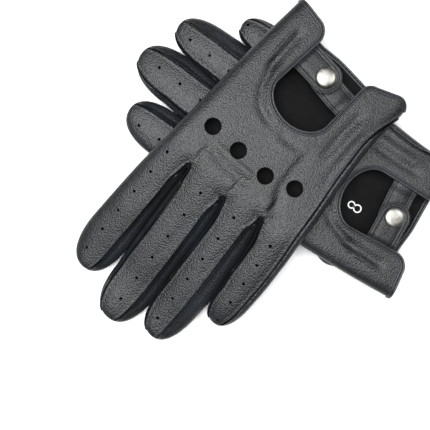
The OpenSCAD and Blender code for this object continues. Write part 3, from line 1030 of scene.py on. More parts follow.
@dataclass(frozen=True)
class Fourchette:
    """The side piece between two fingers: down one, round the end of the slot and up the other."""

    form: GloveForm
    slot_number: int
    top_steps: int = 11
    bottom_steps: int = 4
    turn_steps: int = 22
    row_step: float = 1.25
    tip_rows: int = 16

    def stations(self) -> list[tuple[int, Edge, float, float]]:
        """Finger, edge, y and turn round the slot's end, all along the strip."""
        n, slot = self.slot_number, self.form.slots[self.slot_number]
        rows: dict[int, list[float]] = {}
        for k in (n, n + 1):
            finger = self.form.fingers[k]
            count = round((finger.belly_y - slot.end_y) / self.row_step)
            ys = [lerp(slot.end_y, finger.belly_y, i / count) for i in range(count)]
            reach = finger.tip[1] - finger.belly_y
            turns = [math.pi / 2 * i / self.tip_rows for i in range(self.tip_rows + 1)]
            rows[k] = ys + [finger.belly_y + reach * math.sin(a) ** 0.85 for a in turns]
        result = [(n, Edge.LITTLE, y, -1.0) for y in reversed(rows[n])]
        for i in range(1, self.turn_steps):
            b = math.pi * i / self.turn_steps
            result.append((n if i * 2 < self.turn_steps else n + 1,
                           Edge.LITTLE if i * 2 < self.turn_steps else Edge.INDEX, slot.end_y, b))
        return result + [(n + 1, Edge.INDEX, y, -1.0) for y in rows[n + 1]]

    def build(self, relief: Callable[[float, float], float]) -> bmesh.types.BMesh:
        """The whole strip, its outside facing the gap.

        Args:
            relief: The rise beside a seam at a distance from it, as on the back.

        Returns:
            The strip, open at its back.
        """
        form, slot = self.form, self.form.slots[self.slot_number]
        stations = self.stations()
        top, low = self.top_steps, self.bottom_steps
        n = self.slot_number

        def place(i: int, j: int) -> Vector:
            """Place of a point: columns run from the tuck under the back to the tuck over the palm."""
            k, edge, y, turn = stations[j]
            finger = form.fingers[k]
            fade = finger.fade(y)
            inset = finger.seam_in(edge, y)
            if turn >= 0:
                beside = ((n, Edge.LITTLE), (n + 1, Edge.INDEX))
                ends = [form.fingers[m].seam_in(e, slot.end_y) for m, e in beside]
                inset = lerp(ends[0], ends[1], smooth(0, math.pi, turn))
            radius = max(form.top_r(k, edge, y), 0.2)
            full = math.acos(clamp(1 - inset / radius, -1, 1))
            if i == 0:
                d, upper, drop, away = inset + 1.0 * fade, True, 1.5 * fade, 9.0
            elif i <= top + 1:
                share = 1 - (i - 1) / top
                share = share ** 0.8
                d = radius * (1 - math.cos(full * share))
                upper, drop, away = True, 0.0, (1 - share) * full * radius
            elif i <= top + 1 + low:
                d = form.palm_seam_in * fade * (i - top - 1) / low
                upper, drop, away = False, 0.0, 9.0
            else:
                d, upper, drop, away = (form.palm_seam_in + 0.8) * fade, False, -1.0 * fade, 9.0
            if turn >= 0:
                deep = lerp(slot.gap, slot.depth, clamp(d / max(inset, 0.1))) if upper else d + slot.gap
                x = slot.x + (slot.gap + d) * math.cos(turn)
                y = slot.end_y - deep * math.sin(turn)
            else:
                x = finger.side(edge, y) - edge.value * d
            z = form.crown(k, x, y) if upper else form.bottom(k, x, y)
            return Vector((x, y, z - drop + relief(away, min(1.0, fade * 1.5))))

        bm = grid(top + low + 3, len(stations), place)
        weld(bm, 0.01)
        bmesh.ops.recalc_face_normals(bm, faces=bm.faces)
        facing = 0.0
        finger = form.fingers[n]
        for f in bm.faces:
            c = f.calc_center_median()
            if slot.end_y + 8 < c.y < finger.belly_y and abs(c.z - form.half_h) < 2 and c.x > slot.x:
                facing += f.normal.x
        if facing > 0:
            bmesh.ops.reverse_faces(bm, faces=bm.faces)
        return bm


# ---- Thumb ----


@dataclass(frozen=True)
class Thumb:
    """The thumb, folded flat under the palm: an outer and an inner half sewn round their edge."""

    base: Point = (34.5, 46)
    base_r: float = 13.5
    tip: Point = (18, 89)
    tip_r: float = 10.5
    top: float = -0.1
    thickness: float = 6.5
    hole_r: float = 10.5
    around: int = 88
    rings: tuple[float, ...] = (0.0, 0.03, 0.08, 0.15, 0.24, 0.34, 0.46, 0.6, 0.75, 0.88, 1.0)

    def outline(self, share: float) -> tuple[Point, Point, float]:
        """A point of the outline, the point of the middle line it looks to, and the radius there."""
        length = math.dist(self.base, self.tip)
        ux, uy = (self.tip[0] - self.base[0]) / length, (self.tip[1] - self.base[1]) / length
        lean = math.asin((self.base_r - self.tip_r) / length)
        straight = length * math.cos(lean)
        bows = (self.tip_r * (math.pi - 2 * lean), self.base_r * (math.pi + 2 * lean))
        s = share * (2 * straight + sum(bows))
        start = math.pi / 2 - lean
        if s < bows[0]:
            centre, radius, a = self.tip, self.tip_r, start - s / self.tip_r
        elif s < bows[0] + straight:
            t = (s - bows[0]) / straight
            centre = (lerp(self.tip[0], self.base[0], t), lerp(self.tip[1], self.base[1], t))
            radius, a = lerp(self.tip_r, self.base_r, t), -start
        elif s < sum(bows) + straight:
            centre, radius = self.base, self.base_r
            a = -start - (s - bows[0] - straight) / self.base_r
        else:
            t = (s - sum(bows) - straight) / straight
            centre = (lerp(self.base[0], self.tip[0], t), lerp(self.base[1], self.tip[1], t))
            radius, a = lerp(self.base_r, self.tip_r, t), start
        c, d = math.cos(a), math.sin(a)
        point = (centre[0] + radius * (c * ux - d * uy), centre[1] + radius * (c * uy + d * ux))
        return point, centre, radius

    def half(self, upper: bool) -> bmesh.types.BMesh:
        """One half of the thumb: the upper lies against the palm, the lower on the table."""
        middle = self.top - self.thickness / 2
        depth = self.thickness / 2 - 0.15

        def place(i: int, j: int) -> Vector:
            """Place of a point, from the edge in to the middle line."""
            (x, y), centre, radius = self.outline((i % self.around) / self.around)
            share = self.rings[j]
            rise = round_off(min(1.0, share * radius / 6.5))
            pucker = 0.12 * math.sin(i * 0.9) * bell(share - 0.12, 0.12)
            z = middle + (1 if upper else -1) * (depth * rise + pucker)
            return Vector((lerp(x, centre[0], share), lerp(y, centre[1], share), z))

        bm = grid(self.around + 1, len(self.rings), place)
        weld(bm, 0.02)
        if upper:
            bore(bm, self.base, self.hole_r, 0.8)
            for v in bm.verts:
                if math.dist(v.co[:2], self.base) < self.hole_r + 0.9:
                    v.co.z = self.top
        face_up(bm, upper)
        return bm


# ---- Bindings ----


@dataclass(frozen=True)
class Binding:
    """A strip of leather folded over a cut edge and sewn through along its middle.

    The profile is given as (distance in from the edge, height over the leather).
    """

    profile: tuple[Point, ...] = (
        (-0.55, -0.45), (-0.5, 0.05), (-0.25, 0.4), (0.15, 0.6), (0.55, 0.52), (0.85, 0.1),
        (1.1, -0.2), (1.35, 0.1), (1.65, 0.52), (2.05, 0.6), (2.45, 0.38), (2.6, -0.05),
        (2.55, -0.4), (2.2, -1.35), (0.8, -1.45), (-0.2, -1.3),
    )
    stitch_at: float = 1.1
    step: float = 0.8

    def sweep(self, path: Path, height: Callable[[float, float], float]) -> bmesh.types.BMesh:
        """Sweep the profile along an edge.

        Args:
            path: The edge, with the leather on its left-hand side.
            height: The leather's outside at a point.

        Returns:
            The closed strip.
        """
        line = soften(resample(path, self.step), 2)
        sideways = soften(normals(line), 3)
        count = len(self.profile)

        def place(i: int, j: int) -> Vector:
            """Place of a point of the profile at a station."""
            u, w = self.profile[i % count]
            x = line[j][0] + sideways[j][0] * u
            y = line[j][1] + sideways[j][1] * u
            ripple = 0.07 * noise.noise(Vector((j * 0.35, u * 0.5, 0)))
            base = height(line[j][0] + sideways[j][0] * 1.2, line[j][1] + sideways[j][1] * 1.2)
            return Vector((x, y, base + w + ripple))

        bm = grid(count + 1, len(line), place)
        weld(bm, 0.005)
        bmesh.ops.holes_fill(bm, edges=[e for e in bm.edges if e.is_boundary], sides=0)
        bmesh.ops.recalc_face_normals(bm, faces=bm.faces)
        return bm


# ---- Stitching ----


@dataclass(frozen=True)
class Thread:
    """Thick sewing thread that shows as a row of short stitches."""

    length: float = 1.75
    pitch: float = 2.5
    radius: float = 0.19
    sink: float = 0.07

    def sew(
        self, paths: Iterable[Path], height: Callable[[float, float], float]
    ) -> bmesh.types.BMesh:
        """Lay a stitch every pitch along each path.

        Args:
            paths: The seam lines.
            height: The leather's outside at a point.

        Returns:
            All the stitches.
        """
        bm = bmesh.new()
        for path in paths:
            line = resample(path, self.pitch)
            for (ax, ay), (bx, by) in zip(line, line[1:]):
                x, y = (ax + bx) / 2, (ay + by) / 2
                span = math.hypot(bx - ax, by - ay)
                if span < 1e-6:
                    continue
                ux, uy = (bx - ax) / span, (by - ay) / span
                reach = self.length / 2
                ends = [height(x + ux * s, y + uy * s) for s in (-reach, reach)]
                along = Vector((ux * 2 * reach, uy * 2 * reach, ends[1] - ends[0])).normalized()
                across = Vector((-uy, ux, 0))
                up = along.cross(across)
                made = bmesh.ops.create_uvsphere(bm, u_segments=6, v_segments=5, radius=1.0)
                turn = Matrix((along * reach, across * self.radius, up * self.radius)).transposed().to_4x4()
                turn.translation = Vector((x, y, sum(ends) / 2 - self.sink + self.radius * 0.4))
                bmesh.ops.transform(bm, matrix=turn, verts=made["verts"])
        bmesh.ops.recalc_face_normals(bm, faces=bm.faces)
        return bm


# ---- Wrist strap ----


@dataclass(frozen=True)
class Strap:
    """A strap with one round end, drawn along its own x axis from that end's centre.

    Its sides are parallel; its other end is sewn in out of sight.
    """

    half: float
    length: float
    lean: float
    offset: float
    towards: int
    centre: Point
    top: Callable[[float], float]
    leather: float = 0.9
    lining: float = 0.7
    margins: tuple[float, ...] = (1.5, 3.3)
    crown: float = 0.5
    step: float = 0.42

    def to_glove(self, s: float, t: float) -> Point:
        """A point of the strap, s along it and t across, on the glove."""
        a = math.radians(self.lean)
        x, y = s * self.towards, t + self.offset
        return (
            self.centre[0] + x * math.cos(a) - y * math.sin(a),
            self.centre[1] + x * math.sin(a) + y * math.cos(a),
        )

    def from_glove(self, x: float, y: float) -> Point:
        """A point of the glove in the strap's own (s, t)."""
        a = math.radians(self.lean)
        dx, dy = x - self.centre[0], y - self.centre[1]
        u, v = dx * math.cos(a) + dy * math.sin(a), -dx * math.sin(a) + dy * math.cos(a)
        return u * self.towards, v - self.offset

    def edge_in(self, s: float, t: float) -> float:
        """Distance in from the strap's edge."""
        return self.half - (math.hypot(s, t) if s < 0 else abs(t))

    def surface(self, s: float, t: float) -> float:
        """Height of the strap's outside: rounded edges, and a furrow under each row of stitches."""
        d = self.edge_in(s, t)
        z = self.top(s) - 0.45 * (1 - round_off(d / 0.7))
        for margin in self.margins:
            z -= 0.3 * bell(d - margin, 0.3)
        z += 0.12 * bell(d - sum(self.margins) / len(self.margins), 0.6)
        z += self.crown * (smooth(2.6, 7.0, d) - 0.5)
        return z + 0.1 * noise.noise(Vector((s / 4.5, t / 4.5, self.half)))

    def sheet(self, drop: float, shrink: float, flat: bool) -> bmesh.types.BMesh:
        """A sheet of the strap's outline.

        Args:
            drop: How far below the strap's outside it lies.
            shrink: How far its edge is drawn in.
            flat: Whether it leaves out the stitches' furrows.

        Returns:
            The sheet, facing up.
        """
        half = self.half - shrink
        round_rows = round(half * 1.6 / self.step)
        rows = [-half * math.cos(math.pi / 2 * i / round_rows) for i in range(round_rows)]
        count = round(self.length / self.step)
        rows += [self.length * i / count for i in range(count + 1)]
        columns = 2 * round(half / self.step)

        def place(i: int, j: int) -> Vector:
            """Place of a point of the sheet."""
            s = rows[j]
            reach = math.sqrt(max(half * half - s * s, 0.0)) if s < 0 else half
            t = reach * math.sin(math.pi / 2 * (2 * i / columns - 1) * 0.999)
            x, y = self.to_glove(s, t)
            z = self.top(s) - drop if flat else self.surface(s, t) - drop
            return Vector((x, y, z))

        bm = grid(columns + 1, len(rows), place)
        weld(bm, 0.01)
        face_up(bm)
        return bm

    def stitch_paths(self, start: float) -> list[Path]:
        """The rows of stitches, from start near the sewn end round the free end and back."""
        paths = []
        for margin in self.margins:
            r = self.half - margin
            line = [(start, r), (0.0, r), *arc((0, 0), r, 90, 270, 24), (0.0, -r), (start, -r)]
            paths.append([self.to_glove(s, t) for s, t in line])
        return paths

    def height_at(self, x: float, y: float) -> float:
        """Height of the strap's outside at a point of the glove."""
        return self.surface(*self.from_glove(x, y))


@dataclass(frozen=True)
class PressStud:
    """The flap's domed cap, spun round its axis."""

    radius: float = 6.7
    rise: float = 2.0
    profile: tuple[Point, ...] = (
        (0.0, 1.0), (0.25, 0.985), (0.5, 0.93), (0.7, 0.83), (0.84, 0.69), (0.93, 0.5), (0.98, 0.3),
        (1.0, 0.12), (0.985, 0.0), (0.93, -0.06), (0.0, -0.06),
    )
    steps: int = 64

    def cap(self, centre: Point, base: float) -> bmesh.types.BMesh:
        """The cap over a point, its rim at a height."""
        bm = bmesh.new()
        points = [bm.verts.new((r * self.radius, 0, z * self.rise)) for r, z in self.profile]
        edges = [bm.edges.new(pair) for pair in zip(points, points[1:])]
        bmesh.ops.spin(
            bm, geom=points + edges, cent=(0, 0, 0), axis=(0, 0, 1), angle=2 * math.pi,
            steps=self.steps, use_merge=True, use_duplicate=False,
        )
        weld(bm, 0.005)
        bmesh.ops.recalc_face_normals(bm, faces=bm.faces)
        bmesh.ops.translate(bm, verts=bm.verts, vec=(centre[0], centre[1], base))
        return bm


@dataclass(frozen=True)
class SizeFigure:
    """A plain figure 8 printed on the lining inside the palm: two flat rings."""

    centre: Point = (7.0, 52.6)
    radii: tuple[float, float] = (2.5, 2.8)
    stroke: float = 0.8
    height: float = 1.35

    def build(self) -> bmesh.types.BMesh:
        """The two rings, one above the other."""
        bm = bmesh.new()
        at = self.centre[1]
        for radius in self.radii:
            loops = []
            for r in (radius, radius - self.stroke):
                made = bmesh.ops.create_circle(bm, cap_ends=False, segments=32, radius=r)
                bmesh.ops.translate(bm, verts=made["verts"], vec=(self.centre[0], at, self.height))
                loops += list({e for v in made["verts"] for e in v.link_edges})
            bmesh.ops.bridge_loops(bm, edges=loops)
            at -= sum(self.radii) - self.stroke
        face_up(bm)
        top = bmesh.ops.extrude_face_region(bm, geom=bm.faces)
        raised = [g for g in top["geom"] if isinstance(g, bmesh.types.BMVert)]
        bmesh.ops.translate(bm, verts=raised, vec=(0, 0, 0.08))
        bmesh.ops.recalc_face_normals(bm, faces=bm.faces)
        return bm


# ---- Finishes ----


def srgb(colour: str) -> tuple[float, float, float, float]:
    """Linear colour of an sRGB hex value such as "#3a3d40"."""
    parts = [int(colour[i : i + 2], 16) / 255 for i in (1, 3, 5)]
    linear = [c / 12.92 if c <= 0.04045 else ((c + 0.055) / 1.055) ** 2.4 for c in parts]
    return linear[0], linear[1], linear[2], 1.0


def add_node(tree: bpy.types.NodeTree, kind: str, **settings: object) -> bpy.types.Node:
    """Add a node.

    Args:
        tree: The tree it goes in.
        kind: The node's type.
        settings: Its properties, or its inputs by name with underscores for spaces. A socket is
            linked and any other value is set.

    Returns:
        The node.
    """
    node = tree.nodes.new(kind)
    sockets = {}
    for key, value in settings.items():
        if not isinstance(value, bpy.types.NodeSocket) and hasattr(node, key):
            setattr(node, key, value)
        else:
            sockets[key] = value
    for key, value in sockets.items():
        name = key.replace("_", " ")
        socket = node.inputs[int(key[1:])] if key[0] == "i" and key[1:].isdigit() else node.inputs[name]
        if isinstance(value, bpy.types.NodeSocket):
            tree.links.new(value, socket)
        else:
            socket.default_value = value
    return node


def ramp(
    tree: bpy.types.NodeTree, value: bpy.types.NodeSocket, stops: Sequence[tuple[float, str]]
) -> bpy.types.NodeSocket:
    """A colour ramp's colour for a value, from stops of place and sRGB hex colour."""
    node = add_node(tree, "ShaderNodeValToRGB", Fac=value)
    elements = node.color_ramp.elements
    elements[0].position, elements[0].color = stops[0][0], srgb(stops[0][1])
    elements[1].position, elements[1].color = stops[-1][0], srgb(stops[-1][1])
    for place, colour in stops[1:-1]:
        elements.new(place).color = srgb(colour)
    return node.outputs["Color"]


@dataclass(frozen=True)
class Leather:
    """Dyed and finished leather: a pebbled grain with painted shade in its grooves, a satin skin and slow changes
    of tone.
    """

    name: str
    colours: tuple[str, str, str]
    grain_mm: float
    bump_mm: float
    roughness: tuple[float, float]
    wrinkle_mm: float = 7.0
    wrinkle_bump_mm: float = 0.12
    specular: float = 0.24

    def make(self) -> bpy.types.Material:
        """The material."""
        material = bpy.data.materials.new(self.name)
        material.use_nodes = True
        tree = material.node_tree
        shader = tree.nodes["Principled BSDF"]
        place = add_node(tree, "ShaderNodeTexCoord").outputs["Object"]
        cells = add_node(
            tree, "ShaderNodeTexVoronoi", feature="SMOOTH_F1", Vector=place,
            Scale=1000 / self.grain_mm, Randomness=1.0, Smoothness=0.35,
        ).outputs["Distance"]
        grit = add_node(
            tree, "ShaderNodeTexNoise", Vector=place, Scale=1000 / (self.grain_mm * 0.55), Detail=3.0,
            Roughness=0.6,
        ).outputs["Fac"]
        slow = add_node(
            tree, "ShaderNodeTexNoise", Vector=place, Scale=1000 / 26, Detail=3.0, Roughness=0.55,
        ).outputs["Fac"]
        wrinkles = add_node(
            tree, "ShaderNodeTexNoise", Vector=place, Scale=1000 / self.wrinkle_mm, Detail=4.0,
            Roughness=0.6, Distortion=0.6,
        ).outputs["Fac"]
        pebble = add_node(
            tree, "ShaderNodeMath", operation="MULTIPLY_ADD", i0=grit, i1=0.35, i2=cells
        ).outputs[0]
        colour = ramp(tree, slow, [(0.3, self.colours[0]), (0.5, self.colours[1]), (0.72, self.colours[2])])
        # Painted shade: the grain's grooves, which the bump below sinks, are painted darker.
        shade = ramp(tree, pebble, [(0.25, "#ffffff"), (0.95, "#8a8a8a")])
        mixed = add_node(
            tree, "ShaderNodeMix", data_type="RGBA", blend_type="MULTIPLY", i0=0.7, i6=colour, i7=shade
        )
        tree.links.new(mixed.outputs[2], shader.inputs["Base Color"])
        rough = add_node(
            tree, "ShaderNodeMapRange", Value=pebble, i1=0.2, i2=1.0,
            i3=self.roughness[0], i4=self.roughness[1],
        ).outputs["Result"]
        tree.links.new(rough, shader.inputs["Roughness"])
        low = add_node(
            tree, "ShaderNodeBump", Strength=0.8, Distance=self.wrinkle_bump_mm * MM, Height=wrinkles,
        ).outputs["Normal"]
        high = add_node(
            tree, "ShaderNodeBump", invert=True, Strength=0.9, Distance=self.bump_mm * MM,
            Height=pebble, Normal=low,
        ).outputs["Normal"]
        tree.links.new(high, shader.inputs["Normal"])
        shader.inputs["Specular IOR Level"].default_value = self.specular
        shader.inputs["IOR"].default_value = 1.5
        return material


@dataclass(frozen=True)
class Suede:
    """The flesh side of the leather: matt, with a short nap that scatters light softly."""

    name: str
    colours: tuple[str, str]
    nap_mm: float = 0.5
    nap_bump_mm: float = 0.12

    def make(self) -> bpy.types.Material:
        """The material."""
        material = bpy.data.materials.new(self.name)
        material.use_nodes = True
        tree = material.node_tree
        shader = tree.nodes["Principled BSDF"]
        place = add_node(tree, "ShaderNodeTexCoord").outputs["Object"]
        nap = add_node(
            tree, "ShaderNodeTexNoise", Vector=place, Scale=1000 / self.nap_mm, Detail=4.0, Roughness=0.7,
        ).outputs["Fac"]
        patch = add_node(
            tree, "ShaderNodeTexNoise", Vector=place, Scale=1000 / 9, Detail=3.0, Roughness=0.6,
        ).outputs["Fac"]
        both = add_node(tree, "ShaderNodeMath", operation="MULTIPLY_ADD", i0=patch, i1=0.8, i2=nap).outputs[0]
        colour = ramp(tree, both, [(0.7, self.colours[0]), (1.1, self.colours[1])])
        tree.links.new(colour, shader.inputs["Base Color"])
        bump = add_node(
            tree, "ShaderNodeBump", Strength=0.7, Distance=self.nap_bump_mm * MM, Height=nap
        ).outputs["Normal"]
        tree.links.new(bump, shader.inputs["Normal"])
        shader.inputs["Roughness"].default_value = 0.95
        shader.inputs["Sheen Weight"].default_value = 0.04
        shader.inputs["Sheen Roughness"].default_value = 0.5
        shader.inputs["Specular IOR Level"].default_value = 0.2
        return material


@dataclass(frozen=True)
class Nickel:
    """Nickel plate over brass, brushed dull by wear: clouded reflections with fine scuffs."""

    name: str
    colours: tuple[str, str]
    roughness: tuple[float, float]
    cloud_mm: float = 3.5
    scuff_bump_mm: float = 0.01

    def make(self) -> bpy.types.Material:
        """The material."""
        material = bpy.data.materials.new(self.name)
        material.use_nodes = True
        tree = material.node_tree
        shader = tree.nodes["Principled BSDF"]
        place = add_node(tree, "ShaderNodeTexCoord").outputs["Object"]
        cloud = add_node(
            tree, "ShaderNodeTexNoise", Vector=place, Scale=1000 / self.cloud_mm, Detail=5.0, Roughness=0.6,
            Distortion=0.8,
        ).outputs["Fac"]
        scuffs = add_node(
            tree, "ShaderNodeTexNoise", Vector=place, Scale=1000 / 0.35, Detail=2.0, Roughness=0.6,
        ).outputs["Fac"]
        colour = ramp(tree, cloud, [(0.35, self.colours[0]), (0.65, self.colours[1])])
        tree.links.new(colour, shader.inputs["Base Color"])
        rough = add_node(
            tree, "ShaderNodeMapRange", Value=cloud, i1=0.3, i2=0.7,
            i3=self.roughness[0], i4=self.roughness[1],
        ).outputs["Result"]
        tree.links.new(rough, shader.inputs["Roughness"])
        bump = add_node(
            tree, "ShaderNodeBump", Strength=0.5, Distance=self.scuff_bump_mm * MM, Height=scuffs
        ).outputs["Normal"]
        tree.links.new(bump, shader.inputs["Normal"])
        shader.inputs["Metallic"].default_value = 1.0
        return material


@dataclass(frozen=True)
class Matt:
    """A plain matt finish with a faint mottle, for thread, print and the floor."""

    name: str
    colours: tuple[str, str]
    roughness: float
    mottle_mm: float
    bump_mm: float = 0.0

    def make(self) -> bpy.types.Material:
        """The material."""
        material = bpy.data.materials.new(self.name)
        material.use_nodes = True
        tree = material.node_tree
        shader = tree.nodes["Principled BSDF"]
        place = add_node(tree, "ShaderNodeTexCoord").outputs["Object"]
        mottle = add_node(
            tree, "ShaderNodeTexNoise", Vector=place, Scale=1000 / self.mottle_mm, Detail=3.0, Roughness=0.6,
        ).outputs["Fac"]
        colour = ramp(tree, mottle, [(0.3, self.colours[0]), (0.7, self.colours[1])])
        tree.links.new(colour, shader.inputs["Base Color"])
        if self.bump_mm:
            bump = add_node(
                tree, "ShaderNodeBump", Strength=0.8, Distance=self.bump_mm * MM, Height=mottle,
            ).outputs["Normal"]
            tree.links.new(bump, shader.inputs["Normal"])
        shader.inputs["Roughness"].default_value = self.roughness
        return material


@dataclass
class Finishes:
    """Every material of the gloves, made once."""

    def __post_init__(self) -> None:
        """Make the materials."""
        # Chrome-tanned nappa, finished semi-aniline: fine pebbles that sparkle softly, a satin skin.
        # Its real pebbles are about 0.5 mm; they are drawn 0.95 mm wide and deeper, so that they show.
        self.nappa = Leather(
            "nappa_lambskin", ("#0b0e11", "#11151a", "#1a1f25"), grain_mm=0.95, bump_mm=0.27,
            roughness=(0.3, 0.46), wrinkle_mm=9.0, wrinkle_bump_mm=0.02, specular=0.46,
        ).make()
        # Embossed strap leather, stiffer and coarser: rounder pebbles and a slightly tighter shine.
        self.strap = Leather(
            "embossed_strap_leather", ("#121417", "#191c1f", "#212428"), grain_mm=1.1, bump_mm=0.2,
            roughness=(0.36, 0.54), wrinkle_mm=8.0, wrinkle_bump_mm=0.03, specular=0.38,
        ).make()
        # Skived binding strip, stretched over the edge: the grain is pulled flatter and shines more.
        self.binding = Leather(
            "skived_binding_leather", ("#1c2024", "#24292e", "#2d3238"), grain_mm=0.8, bump_mm=0.05,
            roughness=(0.3, 0.44), wrinkle_mm=4.0, wrinkle_bump_mm=0.04, specular=0.55,
        ).make()
        # Flesh side of the skin, with a short nap: its own black, painted near-black as painted shade for the
        # inside of the glove that shows through its holes and keyhole.
        self.suede = Suede("suede_flesh_side", ("#030303", "#0b0b0c")).make()
        # Cut edge of the leather, dyed through: dull and fibrous.
        self.cut_edge = Suede("dyed_cut_edge", ("#17181a", "#2b2c2e"), 0.3).make()
        # Bonded polyester thread, black with a slight shine.
        self.thread = Matt("bonded_thread", ("#1b1d1f", "#34373a"), 0.45, 0.5, 0.03).make()
        # Satin nickel plate, clouded by handling.
        self.cap = Nickel("satin_nickel_plate", ("#7c7b77", "#9b9a95"), (0.3, 0.44)).make()
        # Bright nickel plate on the hidden fittings.
        self.fittings = Nickel("bright_nickel_plate", ("#b9b8b4", "#d2d1cd"), (0.14, 0.26)).make()
        # Heat-transfer print: flat off-white ink.
        self.print_ink = Matt("transfer_print_ink", ("#c2c3c4", "#dedfe0"), 0.6, 1.2).make()


# ---- One glove ----


@dataclass
class Glove:
    """One whole glove, in its place."""

    lay: Lay
    finishes: Finishes
    form: GloveForm
    folds: Folds

    def __post_init__(self) -> None:
        """Set up the maker and the straps."""
        self.maker = Maker(self.lay)
        self.back = BackPanel(self.form, self.folds)
        snap = (0.0, self.form.snap_y)
        self.flap = Strap(
            half=10.0, length=20.4, lean=-4.74, offset=0.0, towards=1, centre=snap, top=self.flap_top
        )
        self.tab = Strap(
            half=8.5, length=26.5, lean=-8.0, offset=1.4, towards=-1, centre=snap, top=self.tab_top,
            margins=(1.5, 3.1),
        )

    @staticmethod
    def flap_top(s: float) -> float:
        """Height of the flap's outside along it: it dips under the binding where it is sewn in."""
        return FLAP_TOP - 1.7 * smooth(15.0, 19.5, s)

    @staticmethod
    def tab_top(s: float) -> float:
        """Height of the tab's outside along it: lower under the flap than where it is sewn in."""
        return lerp(8.3, 10.1, smooth(14.0, 20.5, s))

    def surface(self, x: float, y: float) -> float:
        """Height of the back's outside at a point of the hand."""
        spans = [s.x for s in self.form.slots]
        k = sum(1 for x_slot in spans if x < x_slot)
        return self.form.crown(k, x, y) + self.folds.height(x, y)

    def palm_surface(self, x: float, y: float) -> float:
        """Height of the palm's inside at a point of the hand."""
        spans = [s.x for s in self.form.slots]
        k = sum(1 for x_slot in spans if x < x_slot)
        return self.form.bottom(k, x, y) + self.form.leather

    def finish(
        self, obj: bpy.types.Object, slot: str, nodes: Sequence[str] = (), closure: bool = False
    ) -> None:
        """Tie a piece to its body and hide the model's parts it stands for."""
        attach(obj, self.lay.closure_body if closure else self.lay.glove_body)
        if nodes:
            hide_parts(*(self.lay.name(n) for n in nodes))

    def make_panels(self) -> None:
        """The back, the palm, the side pieces between the fingers, and the thumb."""
        make, looks = self.maker.make, self.finishes
        skin = (looks.nappa, looks.suede, looks.cut_edge)
        wall = self.form.leather
        self.finish(make(self.back.build(), "back", skin, wall=wall), "nappa_leather", ["back_panel"])
        palm = PalmPanel(self.form).build(self.back.seam_relief)
        self.finish(make(palm, "palm", skin, wall=wall), "nappa_leather", ["palm_panel"])
        for n, between in enumerate(("index_middle", "middle_ring", "ring_little")):
            strip = Fourchette(self.form, n).build(self.back.seam_relief)
            obj = make(strip, f"side_{between}", skin, wall=wall * 0.8)
            self.finish(obj, "nappa_leather", [f"fourchette_{between}"])
        thumb = Thumb()
        for upper, part in ((True, "inner"), (False, "outer")):
            obj = make(thumb.half(upper), f"thumb_half_{part}", skin, False, wall * 0.8)
            self.finish(obj, "nappa_leather", [f"thumb_{part}"])

    def make_bindings(self) -> None:
        """The bindings round the keyhole and the cuff, with their stitches."""
        make, looks, binding = self.maker.make, self.finishes, Binding()
        key_edge = [(44.6, 0.1), *self.form.back_cuff()[1:]][::-1]
        strip = binding.sweep(key_edge, self.surface)
        self.finish(make(strip, "keyhole_edge", [looks.binding]), "binding_leather", ["keyhole_binding"])
        palm_edge = [p for p in resample(self.form.palm_cuff, 2.0) if -47.0 < p[0] < 41.0]
        palm_edge = soften(palm_edge, 2)
        strip = binding.sweep(palm_edge, self.palm_surface)
        self.finish(make(strip, "cuff_edge", [looks.binding]), "binding_leather", ["cuff_binding"])
        thread = Thread()
        lines = []
        for edge in (key_edge, palm_edge):
            line = soften(resample(edge, binding.step), 2)
            side = soften(normals(line), 3)
            lines.append([(p[0] + n[0] * binding.stitch_at, p[1] + n[1] * binding.stitch_at)
                          for p, n in zip(line, side)])
        for line, over, part in zip(lines, (self.surface, self.palm_surface), ("keyhole", "cuff")):
            bm = thread.sew([line], over)
            self.finish(make(bm, f"{part}_stitches", [looks.thread]), "binding_leather")

    def make_strap(self) -> None:
        """The tab, the flap over it, their linings, stitches and press stud."""
        make, looks = self.maker.make, self.finishes
        thread = Thread(length=1.35, pitch=1.95, radius=0.17)
        strap_skin = (looks.strap, looks.suede, looks.cut_edge)
        for strap, part, closure in ((self.tab, "tab", False), (self.flap, "flap", True)):
            obj = make(strap.sheet(0.0, 0.0, False), f"{part}_leather", strap_skin, False, strap.leather)
            pieces = [(obj, "strap_leather", [part])]
            lining = make(
                strap.sheet(strap.leather + 0.02, 0.2, True), f"{part}_backing",
                (looks.suede, looks.suede, looks.cut_edge), False, strap.lining - 0.05,
            )
            pieces.append((lining, "lining_leather", [f"{part}_lining"]))
            start = strap.length - (4.0 if closure else 7.5)
            bm = thread.sew(strap.stitch_paths(start), strap.height_at)
            pieces.append((make(bm, f"{part}_stitches", [looks.thread], False), "strap_leather", []))
            for piece, slot, nodes in pieces:
                if not closure:
                    self.finish(piece, slot, nodes)
                    continue
                self.lay.glove_body
                self.lay.closure_body
                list(self.hinge_span())
                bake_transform(piece)
                if nodes:
                    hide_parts(*(self.lay.name(n) for n in nodes))
        stud = PressStud()
        bm = stud.cap((0.0, self.form.snap_y), FLAP_TOP)
        self.finish(make(bm, "cap", [looks.cap], False, sharp=40), "nickel_cap", ["snap_cap"], True)
        for node in ("snap_socket", "snap_stud", "snap_rivet"):
            mesh = frame["nodes"][self.lay.name(node)].data
            mesh.materials.clear()
            mesh.materials.append(looks.fittings)

    def hinge_span(self) -> tuple[Vector, Vector]:
        """Two points beside the flap's hinge, a little on the glove's side of it and on the flap's."""
        joint = next(j for j in frame["joints"] if j["child"] == self.lay.closure_body)
        pivot = Vector(joint["pos_m"])
        cap_low, cap_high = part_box(self.lay.name("snap_cap"))
        inward = (cap_low + cap_high) / 2 - pivot
        inward.z = 0
        inward.normalize()
        return pivot - inward * 0.6 * MM, pivot + inward * 2.6 * MM

    def build(self) -> None:
        """Make every piece of the glove."""
        self.make_panels()
        self.make_bindings()
        self.make_strap()
        if self.lay.side is Side.RIGHT:
            figure = self.maker.make(SizeFigure().build(), "size_figure", [self.finishes.print_ink])
            self.finish(figure, "lining_leather")


# ---- Studio ----


